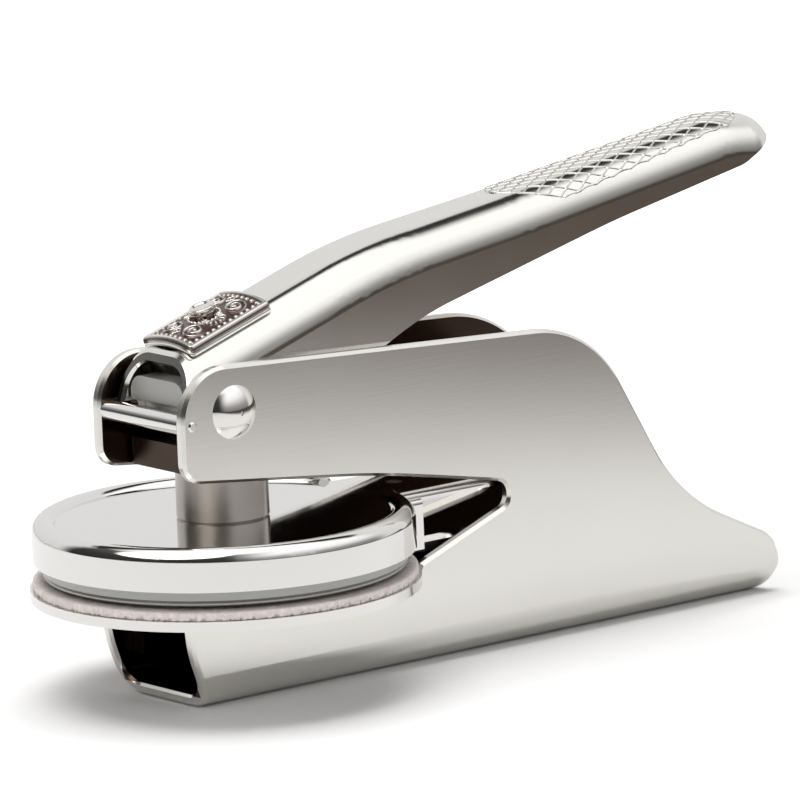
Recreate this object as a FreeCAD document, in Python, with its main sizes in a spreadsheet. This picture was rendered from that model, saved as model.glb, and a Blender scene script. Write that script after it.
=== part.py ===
"""Seal embosser: pressed frame, cam lever, guided plunger and a sprung die clip.

X runs from the die's axis back along the lever, Y across and Z up.
The origin lies on the desk, right under the middle of the dies.
"""
import FreeCAD
import Part
import Sketcher
import math
import os

SIZES = {
    # Frame: one blank folded to a channel; reaches run back and fronts run forward of the dies
    "frame_width": 23.0,
    "frame_sheet": 2.0,
    "frame_bend": 5.5,
    "frame_edge": 0.5,
    "arm_front": 15.7,
    "arm_top": 53.3,
    "arm_top_round": 8.0,
    "arm_low": 35.75,
    "arm_low_round": 3.5,
    "hump_reach": 64.8,
    "hump_drop": 4.6,
    "hump_round": 20.5,
    "waist_reach": 82.0,
    "waist_height": 18.5,
    "waist_round": 31.5,
    "tail_reach": 102.3,
    "tail_height": 8.6,
    "tail_round": 6.0,
    "tail_foot_height": 4.2,
    "tail_foot_round": 2.0,
    "web_back": 100.6,
    "web_front": 12.3,
    "chin_front": 15.5,
    "chin_height": 9.3,
    "chin_round": 20.0,
    "seat_front": 16.1,
    "seat_height": 15.4,
    "seat_step_gap": 0.25,
    "seat_step_run": 0.5,
    "seat_step_rise": 0.85,
    "throat_reach": 47.0,
    "throat_low": 22.85,
    "throat_low_round": 1.9,
    "throat_high": 26.4,
    "throat_high_round": 2.2,
    "brow_reach": 21.8,
    "brow_height": 31.4,
    "brow_round": 200.0,
    # Pivot rivet, washers and stop pin
    "pivot_front": 5.8,
    "pivot_height": 45.5,
    "pivot_shank": 4.0,
    "pivot_head": 8.3,
    "pivot_head_rise": 1.8,
    "washer_size": 7.2,
    "washer_gap": 0.05,
    "stop_front": 13.85,
    "stop_height": 44.4,
    "stop_size": 3.2,
    "stop_neck": 1.6,
    "stop_crown": 0.25,
    "pin_edge": 0.25,
    # Lever: one blank drawn to an inverted channel, round at its tip
    "lever_width": 17.5,
    "lever_sheet": 1.8,
    "lever_shoulder": 6.0,
    "lever_front": 10.4,
    "lever_front_top": 54.1,
    "lever_front_rake": 5.3,
    "lever_floor": 38.0,
    "lever_crest_reach": 26.5,
    "lever_crest_rise": 11.9,
    "lever_crest_round": 100.0,
    "lever_dip_reach": 56.0,
    "lever_dip_rise": 3.8,
    "lever_dip_round": 250.0,
    "lever_end_reach": 98.5,
    "lever_end_rise": 6.35,
    "lever_end_round": 24.0,
    "lever_nose_reach": 110.2,
    "lever_nose_drop": 0.85,
    "lever_nose_round": 6.25,
    "lever_tip_width": 13.0,
    "lever_taper_reach": 18.0,
    "lever_taper_round": 200.0,
    "cheek_front_low": 45.85,
    "cheek_boss_front": 10.1,
    "cheek_boss_low": 41.3,
    "cheek_boss_round": 3.5,
    "cheek_boss_back": 3.0,
    "cheek_corner_round": 0.8,
    "cheek_heel_reach": 10.8,
    "cheek_heel_height": 43.5,
    "cheek_heel_round": 12.0,
    "cheek_brow_reach": 33.5,
    "cheek_brow_depth": 11.9,
    "cheek_brow_round": 60.0,
    "cheek_belly_reach": 73.0,
    "cheek_belly_depth": 6.5,
    "cheek_belly_round": 200.0,
    "cheek_tip_reach": 101.6,
    "cheek_tip_depth": 6.75,
    "cheek_tip_round": 8.0,
    "cheek_nose_depth": 0.3,
    "lever_lip_edge": 0.5,
    # Cam block, its pin, and the running gaps of what turns or slides
    "running_gap": 0.03,
    "cam_throw": 3.8,
    "cam_round": 3.0,
    "cam_width": 8.0,
    "cam_gap": 0.02,
    "cam_top": 51.7,
    "cam_shoulder": 48.6,
    "cam_shoulder_round": 1.6,
    "cam_top_inset": 0.9,
    "cam_top_round": 2.2,
    "cam_pin_size": 2.5,
    "cam_pin_drop": 2.4,
    "cam_nose_front": 11.6,
    "cam_nose_length": 3.6,
    "cam_nose_width": 13.2,
    "cam_nose_low": 46.3,
    "cam_nose_top": 50.0,
    "cam_nose_round": 2.5,
    # Name plate and its screw
    "plate_front": 9.4,
    "plate_length": 16.4,
    "plate_width": 12.6,
    "plate_thick": 1.4,
    "plate_crown": 1.6,
    "plate_crown_round": 18.6,
    "plate_lift": 0.94,
    "plate_corner": 0.8,
    "plate_screw_head": 4.0,
    "plate_screw_gap": 0.01,
    "plate_screw_rise": 1.5,
    "plate_screw_edge": 0.35,
    "plate_screw_shank": 2.0,
    "plate_screw_end": 0.9,
    # Plunger, guide and return spring
    "guide_base": 35.6,
    "guide_length": 21.0,
    "guide_corner": 1.5,
    "guide_wall": 1.1,
    "guide_gap": 0.05,
    "sleeve_size": 14.3,
    "sleeve_wall": 1.35,
    "sleeve_floor": 3.0,
    "sleeve_rise": 11.6,
    "sleeve_stop_gap": 0.3,
    "sleeve_edge": 0.3,
    "cup_flange": 1.0,
    "cup_tube_gap": 0.3,
    "cup_tube_wall": 0.95,
    "cup_tube_floor": 1.0,
    "cup_tube_depth": 6.9,
    "spring_wire": 1.1,
    "spring_gap": 0.25,
    "rod_size": 4.0,
    "rod_head": 8.8,
    "rod_head_thick": 1.5,
    "rod_head_edge": 0.3,
    "rod_hole_gap": 0.3,
    "nut_flats": 7.0,
    "nut_thick": 2.2,
    "nut_room": 0.5,
    # Die clip: cup with tail, upper die, counter die and lower holder with tail
    "cup_size": 59.0,
    "cup_wall": 1.2,
    "cup_base": 21.3,
    "cup_plate_top": 27.0,
    "cup_plate": 1.2,
    "cup_top_round": 1.2,
    "bead_inset": 2.1,
    "bead_round": 2.1,
    "bead_height": 25.75,
    "cup_tail_width": 17.0,
    "cup_tail_low_width": 11.0,
    "cup_tail_lid": 1.6,
    "cup_tail_front": 24.0,
    "cup_tail_reach": 50.0,
    "cup_tail_base": 17.9,
    "cup_neck_round": 0.4,
    "cup_tail_corner": 0.5,
    "cup_tail_wall": 1.0,
    "cup_lug_front": 28.4,
    "cup_lug_length": 3.2,
    "cup_lug_width": 18.8,
    "cup_lug_top": 26.0,
    "cup_lug_round": 1.0,
    "cup_clear_gap": 0.4,
    "cup_clear_top": 19.3,
    "die_gap": 0.1,
    "die_edge": 0.3,
    "die_plate_size": 56.0,
    "die_plate_thick": 0.6,
    "die_plate_edge": 0.2,
    "die_opening": 0.63,
    "counter_size": 59.3,
    "counter_thick": 1.33,
    "counter_edge": 0.2,
    "holder_size": 60.2,
    "holder_thick": 1.54,
    "holder_tail_width": 14.4,
    "holder_tail_reach": 48.0,
    "holder_neck_round": 3.0,
    "holder_tail_corner": 3.0,
    "stud_size": 5.0,
    "stud_neck": 4.0,
    "stud_end": 0.9,
    "stud_edge": 0.5,
    "bridge_thick": 2.5,
    "bridge_length": 22.0,
    "bridge_base": 6.0,
    "bridge_round": 3.0,
    "clip_width": 8.4,
    "clip_sheet": 0.8,
    "clip_front": 30.5,
    "clip_back_gap": 0.4,
    "clip_rivet": 2.4,
    "clip_rivet_head": 4.0,
    "clip_rivet_rise": 0.7,
    "clip_rivet_reach": 33.5,
    "clip_rivet_pitch": 5.0,
    # One overrun serves every cut that runs past the material
    "overrun": 4.0,
}


class Size:
    """A length or number together with the sheet formula that gives it."""

    def __init__(self, value, text):
        self.value = value
        self.text = text

    def join(self, other, sign, value):
        return Size(value, "(%s %s %s)" % (self.text, sign, other.text))

    def __add__(self, other):
        other = as_size(other)
        return self.join(other, "+", self.value + other.value)

    def __sub__(self, other):
        other = as_size(other)
        return self.join(other, "-", self.value - other.value)

    def __mul__(self, other):
        other = as_size(other)
        return self.join(other, "*", self.value * other.value)

    def __truediv__(self, other):
        other = as_size(other)
        return self.join(other, "/", self.value / other.value)

    def __neg__(self):
        return Size(-self.value, "(0 - %s)" % self.text)

    def arc_tangent(self):
        return Size(math.degrees(math.atan(self.value)), "atan(%s)" % self.text)

    def cosine(self):
        """Cosine of a slope angle in degrees."""
        return Size(math.cos(math.radians(self.value)), "cos(%s)" % self.text)

    def arc_sine(self):
        return Size(math.degrees(math.asin(self.value)), "asin(%s)" % self.text)

    def root(self):
        return Size(math.sqrt(self.value), "sqrt(%s)" % self.text)


def as_size(item):
    return item if isinstance(item, Size) else Size(float(item), repr(item))


class Sheet:
    """Reads a driving dimension from the spreadsheet by its alias."""

    def __init__(self, table):
        self.table = table

    def __getattr__(self, alias):
        return Size(float(self.table.get(alias)), "Sizes." + alias)


def make_sheet(document):
    table = document.addObject("Spreadsheet::Sheet", "Sizes")
    for row, (alias, value) in enumerate(SIZES.items(), start=1):
        table.set("A%d" % row, alias)
        table.set("B%d" % row, str(value))
        table.setAlias("B%d" % row, alias)
    document.recompute()
    return table


doc = FreeCAD.newDocument("SealEmbosser")
dim = Sheet(make_sheet(doc))
ZERO = as_size(0)
FULL_TURN = Size(360.0, "360 deg")
UPRIGHT = FreeCAD.Vector(0, 0, 1)
TOWARDS_NEAR_SIDE = FreeCAD.Vector(0, -1, 0)
NEAR = 0.001
FULL_SHARE = 0.999999
SNUG_SHARE = as_size(0.98)


def bind(item, field, amount):
    item.setExpression(field, amount.text)


def place(item, across=ZERO, side=ZERO, height=ZERO):
    bind(item, "Placement.Base.x", across)
    bind(item, "Placement.Base.y", side)
    bind(item, "Placement.Base.z", height)


def new_body(name):
    item = doc.addObject("PartDesign::Body", name)
    item.Label = name
    return item


def origin_feature(body, role):
    """One of the planes or axes of the body's own origin."""
    return [item for item in body.Origin.OriginFeatures if item.Role == role][0]


def new_sketch(body, name, plane, offset=None):
    """Sketch on one of the body's own planes; XZ sketches read X across and Z up."""
    item = body.newObject("Sketcher::SketchObject", name)
    item.AttachmentSupport = [(origin_feature(body, plane), "")]
    item.MapMode = "FlatFace"
    if offset is not None:
        bind(item, "AttachmentOffset.Base.z", offset)
    return item


def constrain(sketch, *parts, to=None):
    number = sketch.addConstraint(Sketcher.Constraint(*parts, *([] if to is None else [to.value])))
    if to is not None:
        bind(sketch, "Constraints[%d]" % number, to)


def pin_point(sketch, edge, end, across, up):
    constrain(sketch, "DistanceX", -1, 1, edge, end, to=across)
    constrain(sketch, "DistanceY", -1, 1, edge, end, to=up)


def vector(across, up):
    return FreeCAD.Vector(across, up, 0)


def arc_geometry(centre, radius, start, end):
    """Arc that runs from start to end counterclockwise, all as plain vectors."""
    ring = Part.Circle(centre, UPRIGHT, radius)
    first = math.atan2(start.y - centre.y, start.x - centre.x)
    last = math.atan2(end.y - centre.y, end.x - centre.x)
    if last < first:
        last += 2 * math.pi
    return Part.ArcOfCircle(ring, first, last)


def rounding(before, corner, after, radius):
    """Tangent points, centre and turning side of a rounded corner."""
    coming = (corner - before).normalize()
    going = (after - corner).normalize()
    turn = math.atan2(coming.x * going.y - coming.y * going.x, coming.dot(going))
    reach = radius * math.tan(abs(turn) / 2)
    side = 1 if turn > 0 else -1
    enter = corner - coming * reach
    leave = corner + going * reach
    centre = enter + vector(-coming.y, coming.x) * radius * side
    return enter, leave, centre, side


def outline(sketch, corners):
    """Closed outline through corners (across, up) or (across, up, round)."""
    points = [vector(c[0].value, c[1].value) for c in corners]
    count = len(corners)
    starts, ends, rounds = list(points), list(points), {}
    for i, corner in enumerate(corners):
        if len(corner) > 2:
            enter, leave, centre, side = rounding(
                points[i - 1], points[i], points[(i + 1) % count], corner[2].value)
            ends[i], starts[i], rounds[i] = enter, leave, (enter, leave, centre, side)
    edges = []
    for i in range(count):
        edges.append(sketch.addGeometry(Part.LineSegment(starts[i], ends[(i + 1) % count])))
    for i, corner in enumerate(corners):
        before, after = edges[i - 1], edges[i]
        if i in rounds:
            round_corner(sketch, corner, rounds[i], before, after)
        else:
            constrain(sketch, "Coincident", before, 2, after, 1)
            pin_point(sketch, after, 1, corner[0], corner[1])


def round_corner(sketch, corner, found, before, after):
    enter, leave, centre, side = found
    first, last = (enter, leave) if side > 0 else (leave, enter)
    arc = sketch.addGeometry(arc_geometry(centre, corner[2].value, first, last))
    mark = sketch.addGeometry(Part.Point(vector(corner[0].value, corner[1].value)), True)
    constrain(sketch, "Tangent", before, 2, arc, 1 if side > 0 else 2)
    constrain(sketch, "Tangent", after, 1, arc, 2 if side > 0 else 1)
    constrain(sketch, "Radius", arc, to=corner[2])
    constrain(sketch, "PointOnObject", mark, 1, before)
    constrain(sketch, "PointOnObject", mark, 1, after)
    pin_point(sketch, mark, 1, corner[0], corner[1])


def rectangle(sketch, left, right, low, high):
    outline(sketch, [(left, low), (right, low), (right, high), (left, high)])


def circle(sketch, across, up, size):
    ring = sketch.addGeometry(Part.Circle(vector(across.value, up.value), UPRIGHT, size.value / 2))
    constrain(sketch, "Diameter", ring, to=size)
    pin_point(sketch, ring, 3, across, up)


def racket(sketch, radius, half_width, neck, reach, corner):
    """Outline of a disc with a straight tail towards +X, rounded in its neck and corners."""
    big, half, small = radius.value, half_width.value, neck.value
    back, turn = reach.value, corner.value
    run = math.sqrt((big + small) ** 2 - (half + small) ** 2)
    lean = math.atan2(half + small, run)
    touch = vector(big * math.cos(lean), big * math.sin(lean))
    low_touch = vector(touch.x, -touch.y)
    disc = sketch.addGeometry(arc_geometry(vector(0, 0), big, touch, low_touch))
    low_neck = sketch.addGeometry(arc_geometry(
        vector(run, -half - small), small, vector(run, -half), low_touch))
    low_side = sketch.addGeometry(Part.LineSegment(vector(run, -half), vector(back - turn, -half)))
    low_corner = sketch.addGeometry(arc_geometry(
        vector(back - turn, turn - half), turn, vector(back - turn, -half), vector(back, turn - half)))
    end = sketch.addGeometry(Part.LineSegment(vector(back, turn - half), vector(back, half - turn)))
    high_corner = sketch.addGeometry(arc_geometry(
        vector(back - turn, half - turn), turn, vector(back, half - turn), vector(back - turn, half)))
    high_side = sketch.addGeometry(Part.LineSegment(vector(back - turn, half), vector(run, half)))
    high_neck = sketch.addGeometry(arc_geometry(
        vector(run, half + small), small, touch, vector(run, half)))
    constrain(sketch, "Coincident", disc, 3, -1, 1)
    for joint in ((disc, 2, low_neck, 2), (low_neck, 1, low_side, 1), (low_side, 2, low_corner, 1),
                  (low_corner, 2, end, 1), (end, 2, high_corner, 1), (high_corner, 2, high_side, 1),
                  (high_side, 2, high_neck, 2), (high_neck, 1, disc, 1)):
        constrain(sketch, "Tangent", *joint)
    for arc, size in ((disc, radius), (low_neck, neck), (high_neck, neck),
                      (low_corner, corner), (high_corner, corner)):
        constrain(sketch, "Radius", arc, to=size)
    constrain(sketch, "Horizontal", low_side)
    constrain(sketch, "Horizontal", high_side)
    constrain(sketch, "Vertical", end)
    constrain(sketch, "DistanceY", -1, 1, low_side, 1, to=-half_width)
    constrain(sketch, "DistanceY", -1, 1, high_side, 1, to=half_width)
    constrain(sketch, "DistanceX", -1, 1, end, 1, to=reach)


def shape_feature(body, kind, sketch, length, both=False, other=None, flip=False):
    item = body.newObject("PartDesign::" + kind, sketch.Name + "_" + kind.lower())
    item.Profile = sketch
    item.SideType = "Symmetric" if both else "Two sides" if other is not None else "One side"
    bind(item, "Length", length)
    if other is not None:
        bind(item, "Length2", other)
    item.Reversed = flip
    return item


def pad(body, sketch, length, **choices):
    return shape_feature(body, "Pad", sketch, length, **choices)


def pocket(body, sketch, length, **choices):
    """Cut a sketch into the body, and make sure that the cut takes material away."""
    before = body.Tip
    item = shape_feature(body, "Pocket", sketch, length, **choices)
    doc.recompute()
    if item.Shape.Volume > before.Shape.Volume * FULL_SHARE:
        raise RuntimeError(sketch.Name + " cuts nothing")
    return item


def spin(body, sketch, axis):
    item = body.newObject("PartDesign::Revolution", sketch.Name + "_revolution")
    item.Profile = sketch
    item.ReferenceAxis = (sketch, [axis])
    item.Angle = FULL_TURN.value
    return item


def mirror(body, name, feature):
    """Repeat a feature on the other side of the middle plane."""
    doc.recompute()
    item = body.newObject("PartDesign::Mirrored", name)
    item.Originals = [feature]
    item.MirrorPlane = (origin_feature(body, "XZ_Plane"), [""])
    body.Tip = item


def dress(body, kind, edges, field, amount):
    """Fillet or Chamfer on the edges that the test picks from the body's tip."""
    doc.recompute()
    base = body.Tip
    names = ["Edge%d" % (i + 1) for i, edge in enumerate(base.Shape.Edges) if edges(edge)]
    if not names:
        raise RuntimeError(body.Label + ": no edge to dress")
    item = body.newObject("PartDesign::" + kind, base.Name + "_" + kind.lower())
    item.Base = (base, names)
    bind(item, field, amount)
    return item


def flat_ring_edge(height, radius):
    """Picks a full circle of this radius that lies level at this height."""
    def test(edge):
        box = edge.BoundBox
        level = abs(box.ZMin - height.value) < NEAR and abs(box.ZMax - height.value) < NEAR
        return level and abs(box.XLength - 2 * radius.value) < NEAR
    return test


def round_edge(edge):
    return edge.Curve.TypeId == "Part::GeomCircle"


# Places that several pieces share
frame_half = dim.frame_width / 2
frame_inner = frame_half - dim.frame_sheet
lever_half = dim.lever_width / 2
lever_inner = lever_half - dim.lever_sheet
lever_crest_height = dim.lever_front_top + dim.lever_crest_rise
lever_dip_height = lever_crest_height + dim.lever_dip_rise
lever_end_height = lever_dip_height + dim.lever_end_rise
lever_nose_height = lever_end_height - dim.lever_nose_drop
lever_rise = dim.lever_crest_rise / (dim.lever_crest_reach + dim.lever_front)
lever_slope = lever_rise.arc_tangent()
holder_radius = dim.holder_size / 2
holder_top = dim.seat_height + dim.holder_thick
counter_top = holder_top + dim.counter_thick
die_face = counter_top + dim.die_opening
plate_base = dim.cup_plate_top - dim.cup_plate
cup_cavity = dim.cup_size / 2 - dim.cup_wall
sleeve_top = dim.cup_plate_top + dim.sleeve_rise
liner_top = sleeve_top + dim.sleeve_stop_gap
guide_top = liner_top + dim.cup_flange
guide_bore = dim.sleeve_size / 2 + dim.guide_gap + dim.guide_wall
cup_tube_radius = dim.sleeve_size / 2 - dim.sleeve_wall - dim.cup_tube_gap
cup_tube_bore = cup_tube_radius - dim.cup_tube_wall
spring_seat = guide_top - dim.cup_tube_depth
rod_hole = dim.rod_size + dim.rod_hole_gap
head_top = dim.pivot_height - dim.cam_round - dim.cam_gap
head_base = head_top - dim.rod_head_thick
nut_corner = dim.nut_flats / as_size(3).root()
plate_middle = dim.plate_length / 2 * lever_slope.cosine() - dim.plate_front
plate_seat = dim.lever_front_top + (plate_middle + dim.lever_front) * lever_rise
plate_lean = (dim.plate_crown / (dim.plate_width / 2)).arc_tangent()
plate_outer_round = dim.plate_crown_round + dim.plate_thick
plate_top = dim.plate_lift + dim.plate_thick + plate_outer_round - plate_outer_round / plate_lean.cosine()
cam_pin_across = dim.cam_throw / 2 - dim.pivot_front
cam_pin_height = dim.cam_top - dim.cam_pin_drop
step_reach = (holder_radius * holder_radius - frame_inner * frame_inner).root() + dim.seat_step_gap


def frame_outline():
    """Side view of the folded blank, from the web's front edge round the tail and the throat."""
    return [
        (-dim.web_front, ZERO),
        (dim.web_back, ZERO),
        (dim.tail_reach, dim.tail_foot_height, dim.tail_foot_round),
        (dim.tail_reach, dim.tail_height, dim.tail_round),
        (dim.waist_reach, dim.waist_height, dim.waist_round),
        (dim.hump_reach, dim.arm_top - dim.hump_drop, dim.hump_round),
        (-dim.arm_front, dim.arm_top, dim.arm_top_round),
        (-dim.arm_front, dim.arm_low, dim.arm_low_round),
        (dim.brow_reach, dim.brow_height, dim.brow_round),
        (dim.throat_reach, dim.throat_high, dim.throat_high_round),
        (dim.throat_reach, dim.throat_low, dim.throat_low_round),
        (step_reach + dim.seat_step_run, dim.seat_height + dim.seat_step_rise),
        (step_reach, dim.seat_height),
        (-dim.seat_front, dim.seat_height),
        (-dim.chin_front, dim.chin_height, dim.chin_round),
    ]


def rim_edge(skin_half, skin_bend, level):
    """Picks the cut rim of one skin of the blank, without the lines where its plates meet the bends."""
    flat_half, bend_top = (skin_half - skin_bend).value, (level + skin_bend).value

    def test(edge):
        points = edge.discretize(5)
        for point in points:
            across, down = abs(point.y) - flat_half, bend_top - point.z
            if abs(math.hypot(max(across, 0), max(down, 0)) - skin_bend.value) > NEAR:
                return False
        along = math.hypot(points[0].y - points[-1].y, points[0].z - points[-1].z) < NEAR
        return points[0].z > bend_top + NEAR or not along
    return test


def make_frame_shell():
    body = new_body("frame_shell")
    top = dim.arm_top + dim.overrun
    inner_bend = dim.frame_bend - dim.frame_sheet
    section = new_sketch(body, "frame_section", "YZ_Plane")
    outline(section, [
        (-frame_half, ZERO, dim.frame_bend),
        (frame_half, ZERO, dim.frame_bend),
        (frame_half, top),
        (frame_inner, top),
        (frame_inner, dim.frame_sheet, inner_bend),
        (-frame_inner, dim.frame_sheet, inner_bend),
        (-frame_inner, top),
        (-frame_half, top),
    ])
    pad(body, section, dim.tail_reach + dim.overrun, other=dim.seat_front + dim.overrun)
    trim = new_sketch(body, "frame_trim", "XZ_Plane")
    margin = dim.overrun * 2
    rectangle(trim, -(dim.seat_front + margin), dim.tail_reach + margin, -dim.overrun, top + margin)
    outline(trim, frame_outline())
    pocket(body, trim, dim.frame_width + margin, both=True)
    dress(body, "Chamfer", rim_edge(frame_half, dim.frame_bend, ZERO), "Size", dim.frame_edge)
    dress(body, "Chamfer", rim_edge(frame_inner, inner_bend, dim.frame_sheet), "Size", dim.frame_edge)
    holes = new_sketch(body, "frame_holes", "XZ_Plane")
    circle(holes, -dim.pivot_front, dim.pivot_height, dim.pivot_shank)
    circle(holes, -dim.stop_front, dim.stop_height, dim.stop_neck)
    pocket(body, holes, dim.frame_width + margin, both=True)
    return body


def make_pivot_rivet():
    body = new_body("pivot_rivet")
    half_head = dim.pivot_head / 2
    side = new_sketch(body, "rivet_shank", "XZ_Plane")
    circle(side, ZERO, ZERO, dim.pivot_shank)
    pad(body, side, dim.frame_width, both=True)
    dome_radius = (half_head * half_head / dim.pivot_head_rise + dim.pivot_head_rise) / 2
    head = new_sketch(body, "rivet_head", "YZ_Plane")
    dome(head, frame_half, half_head, dim.pivot_head_rise, dome_radius)
    mirror(body, "rivet_heads", spin(body, head, "H_Axis"))
    place(body, across=-dim.pivot_front, height=dim.pivot_height)
    return body


def dome(sketch, base, radius, rise, curve):
    """Half section of a domed head that stands on a face at base and leans on the H axis."""
    foot, rim = vector(base.value, 0), vector(base.value, radius.value)
    crown = vector(base.value + rise.value, 0)
    centre = vector(crown.x - curve.value, 0)
    face = sketch.addGeometry(Part.LineSegment(rim, foot))
    axis = sketch.addGeometry(Part.LineSegment(foot, crown))
    arc = sketch.addGeometry(arc_geometry(centre, curve.value, crown, rim))
    constrain(sketch, "Coincident", face, 2, axis, 1)
    constrain(sketch, "Coincident", axis, 2, arc, 1)
    constrain(sketch, "Coincident", arc, 2, face, 1)
    pin_point(sketch, face, 1, base, radius)
    pin_point(sketch, axis, 1, base, ZERO)
    pin_point(sketch, axis, 2, base + rise, ZERO)
    constrain(sketch, "PointOnObject", arc, 3, -1)


def make_pivot_washers():
    """Two rings that fill the gap between the lever's cheeks and the frame's plates."""
    body = new_body("pivot_washers")
    ring = new_sketch(body, "washer_ring", "XZ_Plane", offset=lever_half + dim.washer_gap)
    circle(ring, ZERO, ZERO, dim.washer_size)
    circle(ring, ZERO, ZERO, dim.pivot_shank)
    mirror(body, "washer_pair", pad(body, ring, frame_inner - lever_half - dim.washer_gap * 2))
    place(body, across=-dim.pivot_front, height=dim.pivot_height)
    return body


def make_stop_pin():
    """Spacer bar between the side plates, with a riveted neck through each."""
    body = new_body("stop_pin")
    end = frame_half + dim.stop_crown
    neck, bar = dim.stop_neck / 2, dim.stop_size / 2
    half = new_sketch(body, "stop_half", "YZ_Plane")
    outline(half, [
        (-end, ZERO),
        (-end, neck - dim.stop_crown),
        (-frame_half, neck),
        (-frame_inner, neck),
        (-frame_inner, bar),
        (frame_inner, bar),
        (frame_inner, neck),
        (frame_half, neck),
        (end, neck - dim.stop_crown),
        (end, ZERO),
    ])
    spin(body, half, "H_Axis")
    place(body, across=-dim.stop_front, height=dim.stop_height)
    return body


def lever_side():
    """Side view of the lever's outer form, down to a floor below its cheeks."""
    front_floor = dim.lever_front + dim.lever_front_rake
    return [
        (-front_floor, dim.lever_floor),
        (dim.lever_nose_reach, dim.lever_floor),
        (dim.lever_nose_reach, lever_nose_height),
        (dim.lever_end_reach, lever_end_height, dim.lever_end_round),
        (dim.lever_dip_reach, lever_dip_height, dim.lever_dip_round),
        (dim.lever_crest_reach, lever_crest_height, dim.lever_crest_round),
        (-dim.lever_front, dim.lever_front_top),
    ]


def lever_plan():
    """Plan view of the lever, tapered towards its rounded tip."""
    front = dim.lever_front + dim.lever_front_rake + dim.overrun
    tip_half = dim.lever_tip_width / 2
    return [
        (-front, -lever_half),
        (dim.lever_taper_reach, -lever_half, dim.lever_taper_round),
        (dim.lever_nose_reach, -tip_half, dim.lever_nose_round),
        (dim.lever_nose_reach, tip_half, dim.lever_nose_round),
        (dim.lever_taper_reach, lever_half, dim.lever_taper_round),
        (-front, lever_half),
    ]


def cheek_edge():
    """Region below the lever's cheeks: stop notch, pivot boss, heel, belly and tip."""
    front = dim.lever_front + dim.lever_front_rake + dim.overrun
    back = dim.lever_nose_reach + dim.overrun
    floor = dim.lever_floor - dim.overrun
    return [
        (-front, dim.cheek_front_low),
        (-front, floor),
        (back, floor),
        (back, lever_nose_height - dim.cheek_nose_depth),
        (dim.cheek_tip_reach, lever_nose_height - dim.cheek_tip_depth, dim.cheek_tip_round),
        (dim.cheek_belly_reach, lever_dip_height - dim.cheek_belly_depth, dim.cheek_belly_round),
        (dim.cheek_brow_reach, lever_crest_height - dim.cheek_brow_depth, dim.cheek_brow_round),
        (dim.cheek_heel_reach, dim.cheek_heel_height, dim.cheek_heel_round),
        (-dim.cheek_boss_back, dim.cheek_boss_low),
        (-dim.cheek_boss_front, dim.cheek_boss_low, dim.cheek_boss_round),
        (-dim.cheek_boss_front, dim.cheek_front_low, dim.cheek_corner_round),
    ]


def shoulder_edge(edge):
    """Picks the outline of the lever's top, apart from its front end and the joints between faces."""
    box = edge.BoundBox
    across = box.XLength < NEAR and box.ZLength < NEAR and box.XMax < dim.lever_nose_reach.value - NEAR
    front = box.XMax < NEAR - dim.lever_front.value
    return box.ZMin > dim.lever_front_top.value - NEAR and not across and not front


def open_faces(shape):
    """Names of the lever blank's floor and of its front end, which the channel leaves open."""
    names = []
    for number, face in enumerate(shape.Faces, start=1):
        box = face.BoundBox
        floor = box.ZMax < dim.lever_floor.value + NEAR
        front = box.XMax < NEAR - dim.lever_front.value
        if floor or front:
            names.append("Face%d" % number)
    return names


def lip_edge(edge):
    """Picks the edges of the arch in the lever's raked front end, above its floor."""
    rake = (dim.lever_front_rake / (dim.lever_front_top - dim.lever_floor)).value
    for point in edge.discretize(5):
        if abs(point.x + dim.lever_front.value + (dim.lever_front_top.value - point.z) * rake) > NEAR:
            return False
    return edge.BoundBox.ZMax > dim.lever_floor.value + NEAR


def make_lever_handle():
    body = new_body("lever_handle")
    side = new_sketch(body, "lever_side", "XZ_Plane")
    outline(side, lever_side())
    pad(body, side, dim.lever_width, both=True)
    plan = new_sketch(body, "lever_plan", "XY_Plane")
    front = dim.lever_front + dim.lever_front_rake + dim.overrun
    margin = dim.overrun * 2
    rectangle(plan, -(front + margin), dim.lever_nose_reach + margin,
              -(lever_half + dim.overrun), lever_half + dim.overrun)
    outline(plan, lever_plan())
    pocket(body, plan, lever_end_height + margin, flip=True)
    shoulder = dress(body, "Fillet", shoulder_edge, "Radius", dim.lever_shoulder)
    doc.recompute()
    shell = body.newObject("PartDesign::Thickness", "lever_channel")
    shell.Base = (shoulder, open_faces(shoulder.Shape))
    shell.Reversed = True
    shell.Join = "Intersection"
    bind(shell, "Value", dim.lever_sheet)
    dress(body, "Chamfer", lip_edge, "Size", dim.lever_lip_edge)
    edge = new_sketch(body, "lever_cheeks", "XZ_Plane")
    outline(edge, cheek_edge())
    pocket(body, edge, dim.lever_width + margin, both=True)
    holes = new_sketch(body, "lever_holes", "XZ_Plane")
    circle(holes, -dim.pivot_front, dim.pivot_height, dim.pivot_shank + dim.running_gap * 2)
    circle(holes, cam_pin_across, cam_pin_height, dim.cam_pin_size)
    pocket(body, holes, dim.lever_width + margin, both=True)
    screw = new_sketch(body, "lever_screw_hole", "XY_Plane")
    circle(screw, ZERO, ZERO, dim.plate_screw_shank)
    set_on_lever(screw, "AttachmentOffset")
    pocket(body, screw, dim.lever_sheet + dim.overrun * 2, both=True)
    return body


def set_on_lever(item, field):
    """Stand an item on the lever's sloping top, at the middle of the name plate."""
    tilt = FreeCAD.Rotation(TOWARDS_NEAR_SIDE, lever_slope.value)
    setattr(item, field, FreeCAD.Placement(FreeCAD.Vector(plate_middle.value, 0, plate_seat.value), tilt))
    bind(item, field + ".Base.x", plate_middle)
    bind(item, field + ".Base.z", plate_seat)
    bind(item, field + ".Rotation.Angle", lever_slope)


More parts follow.
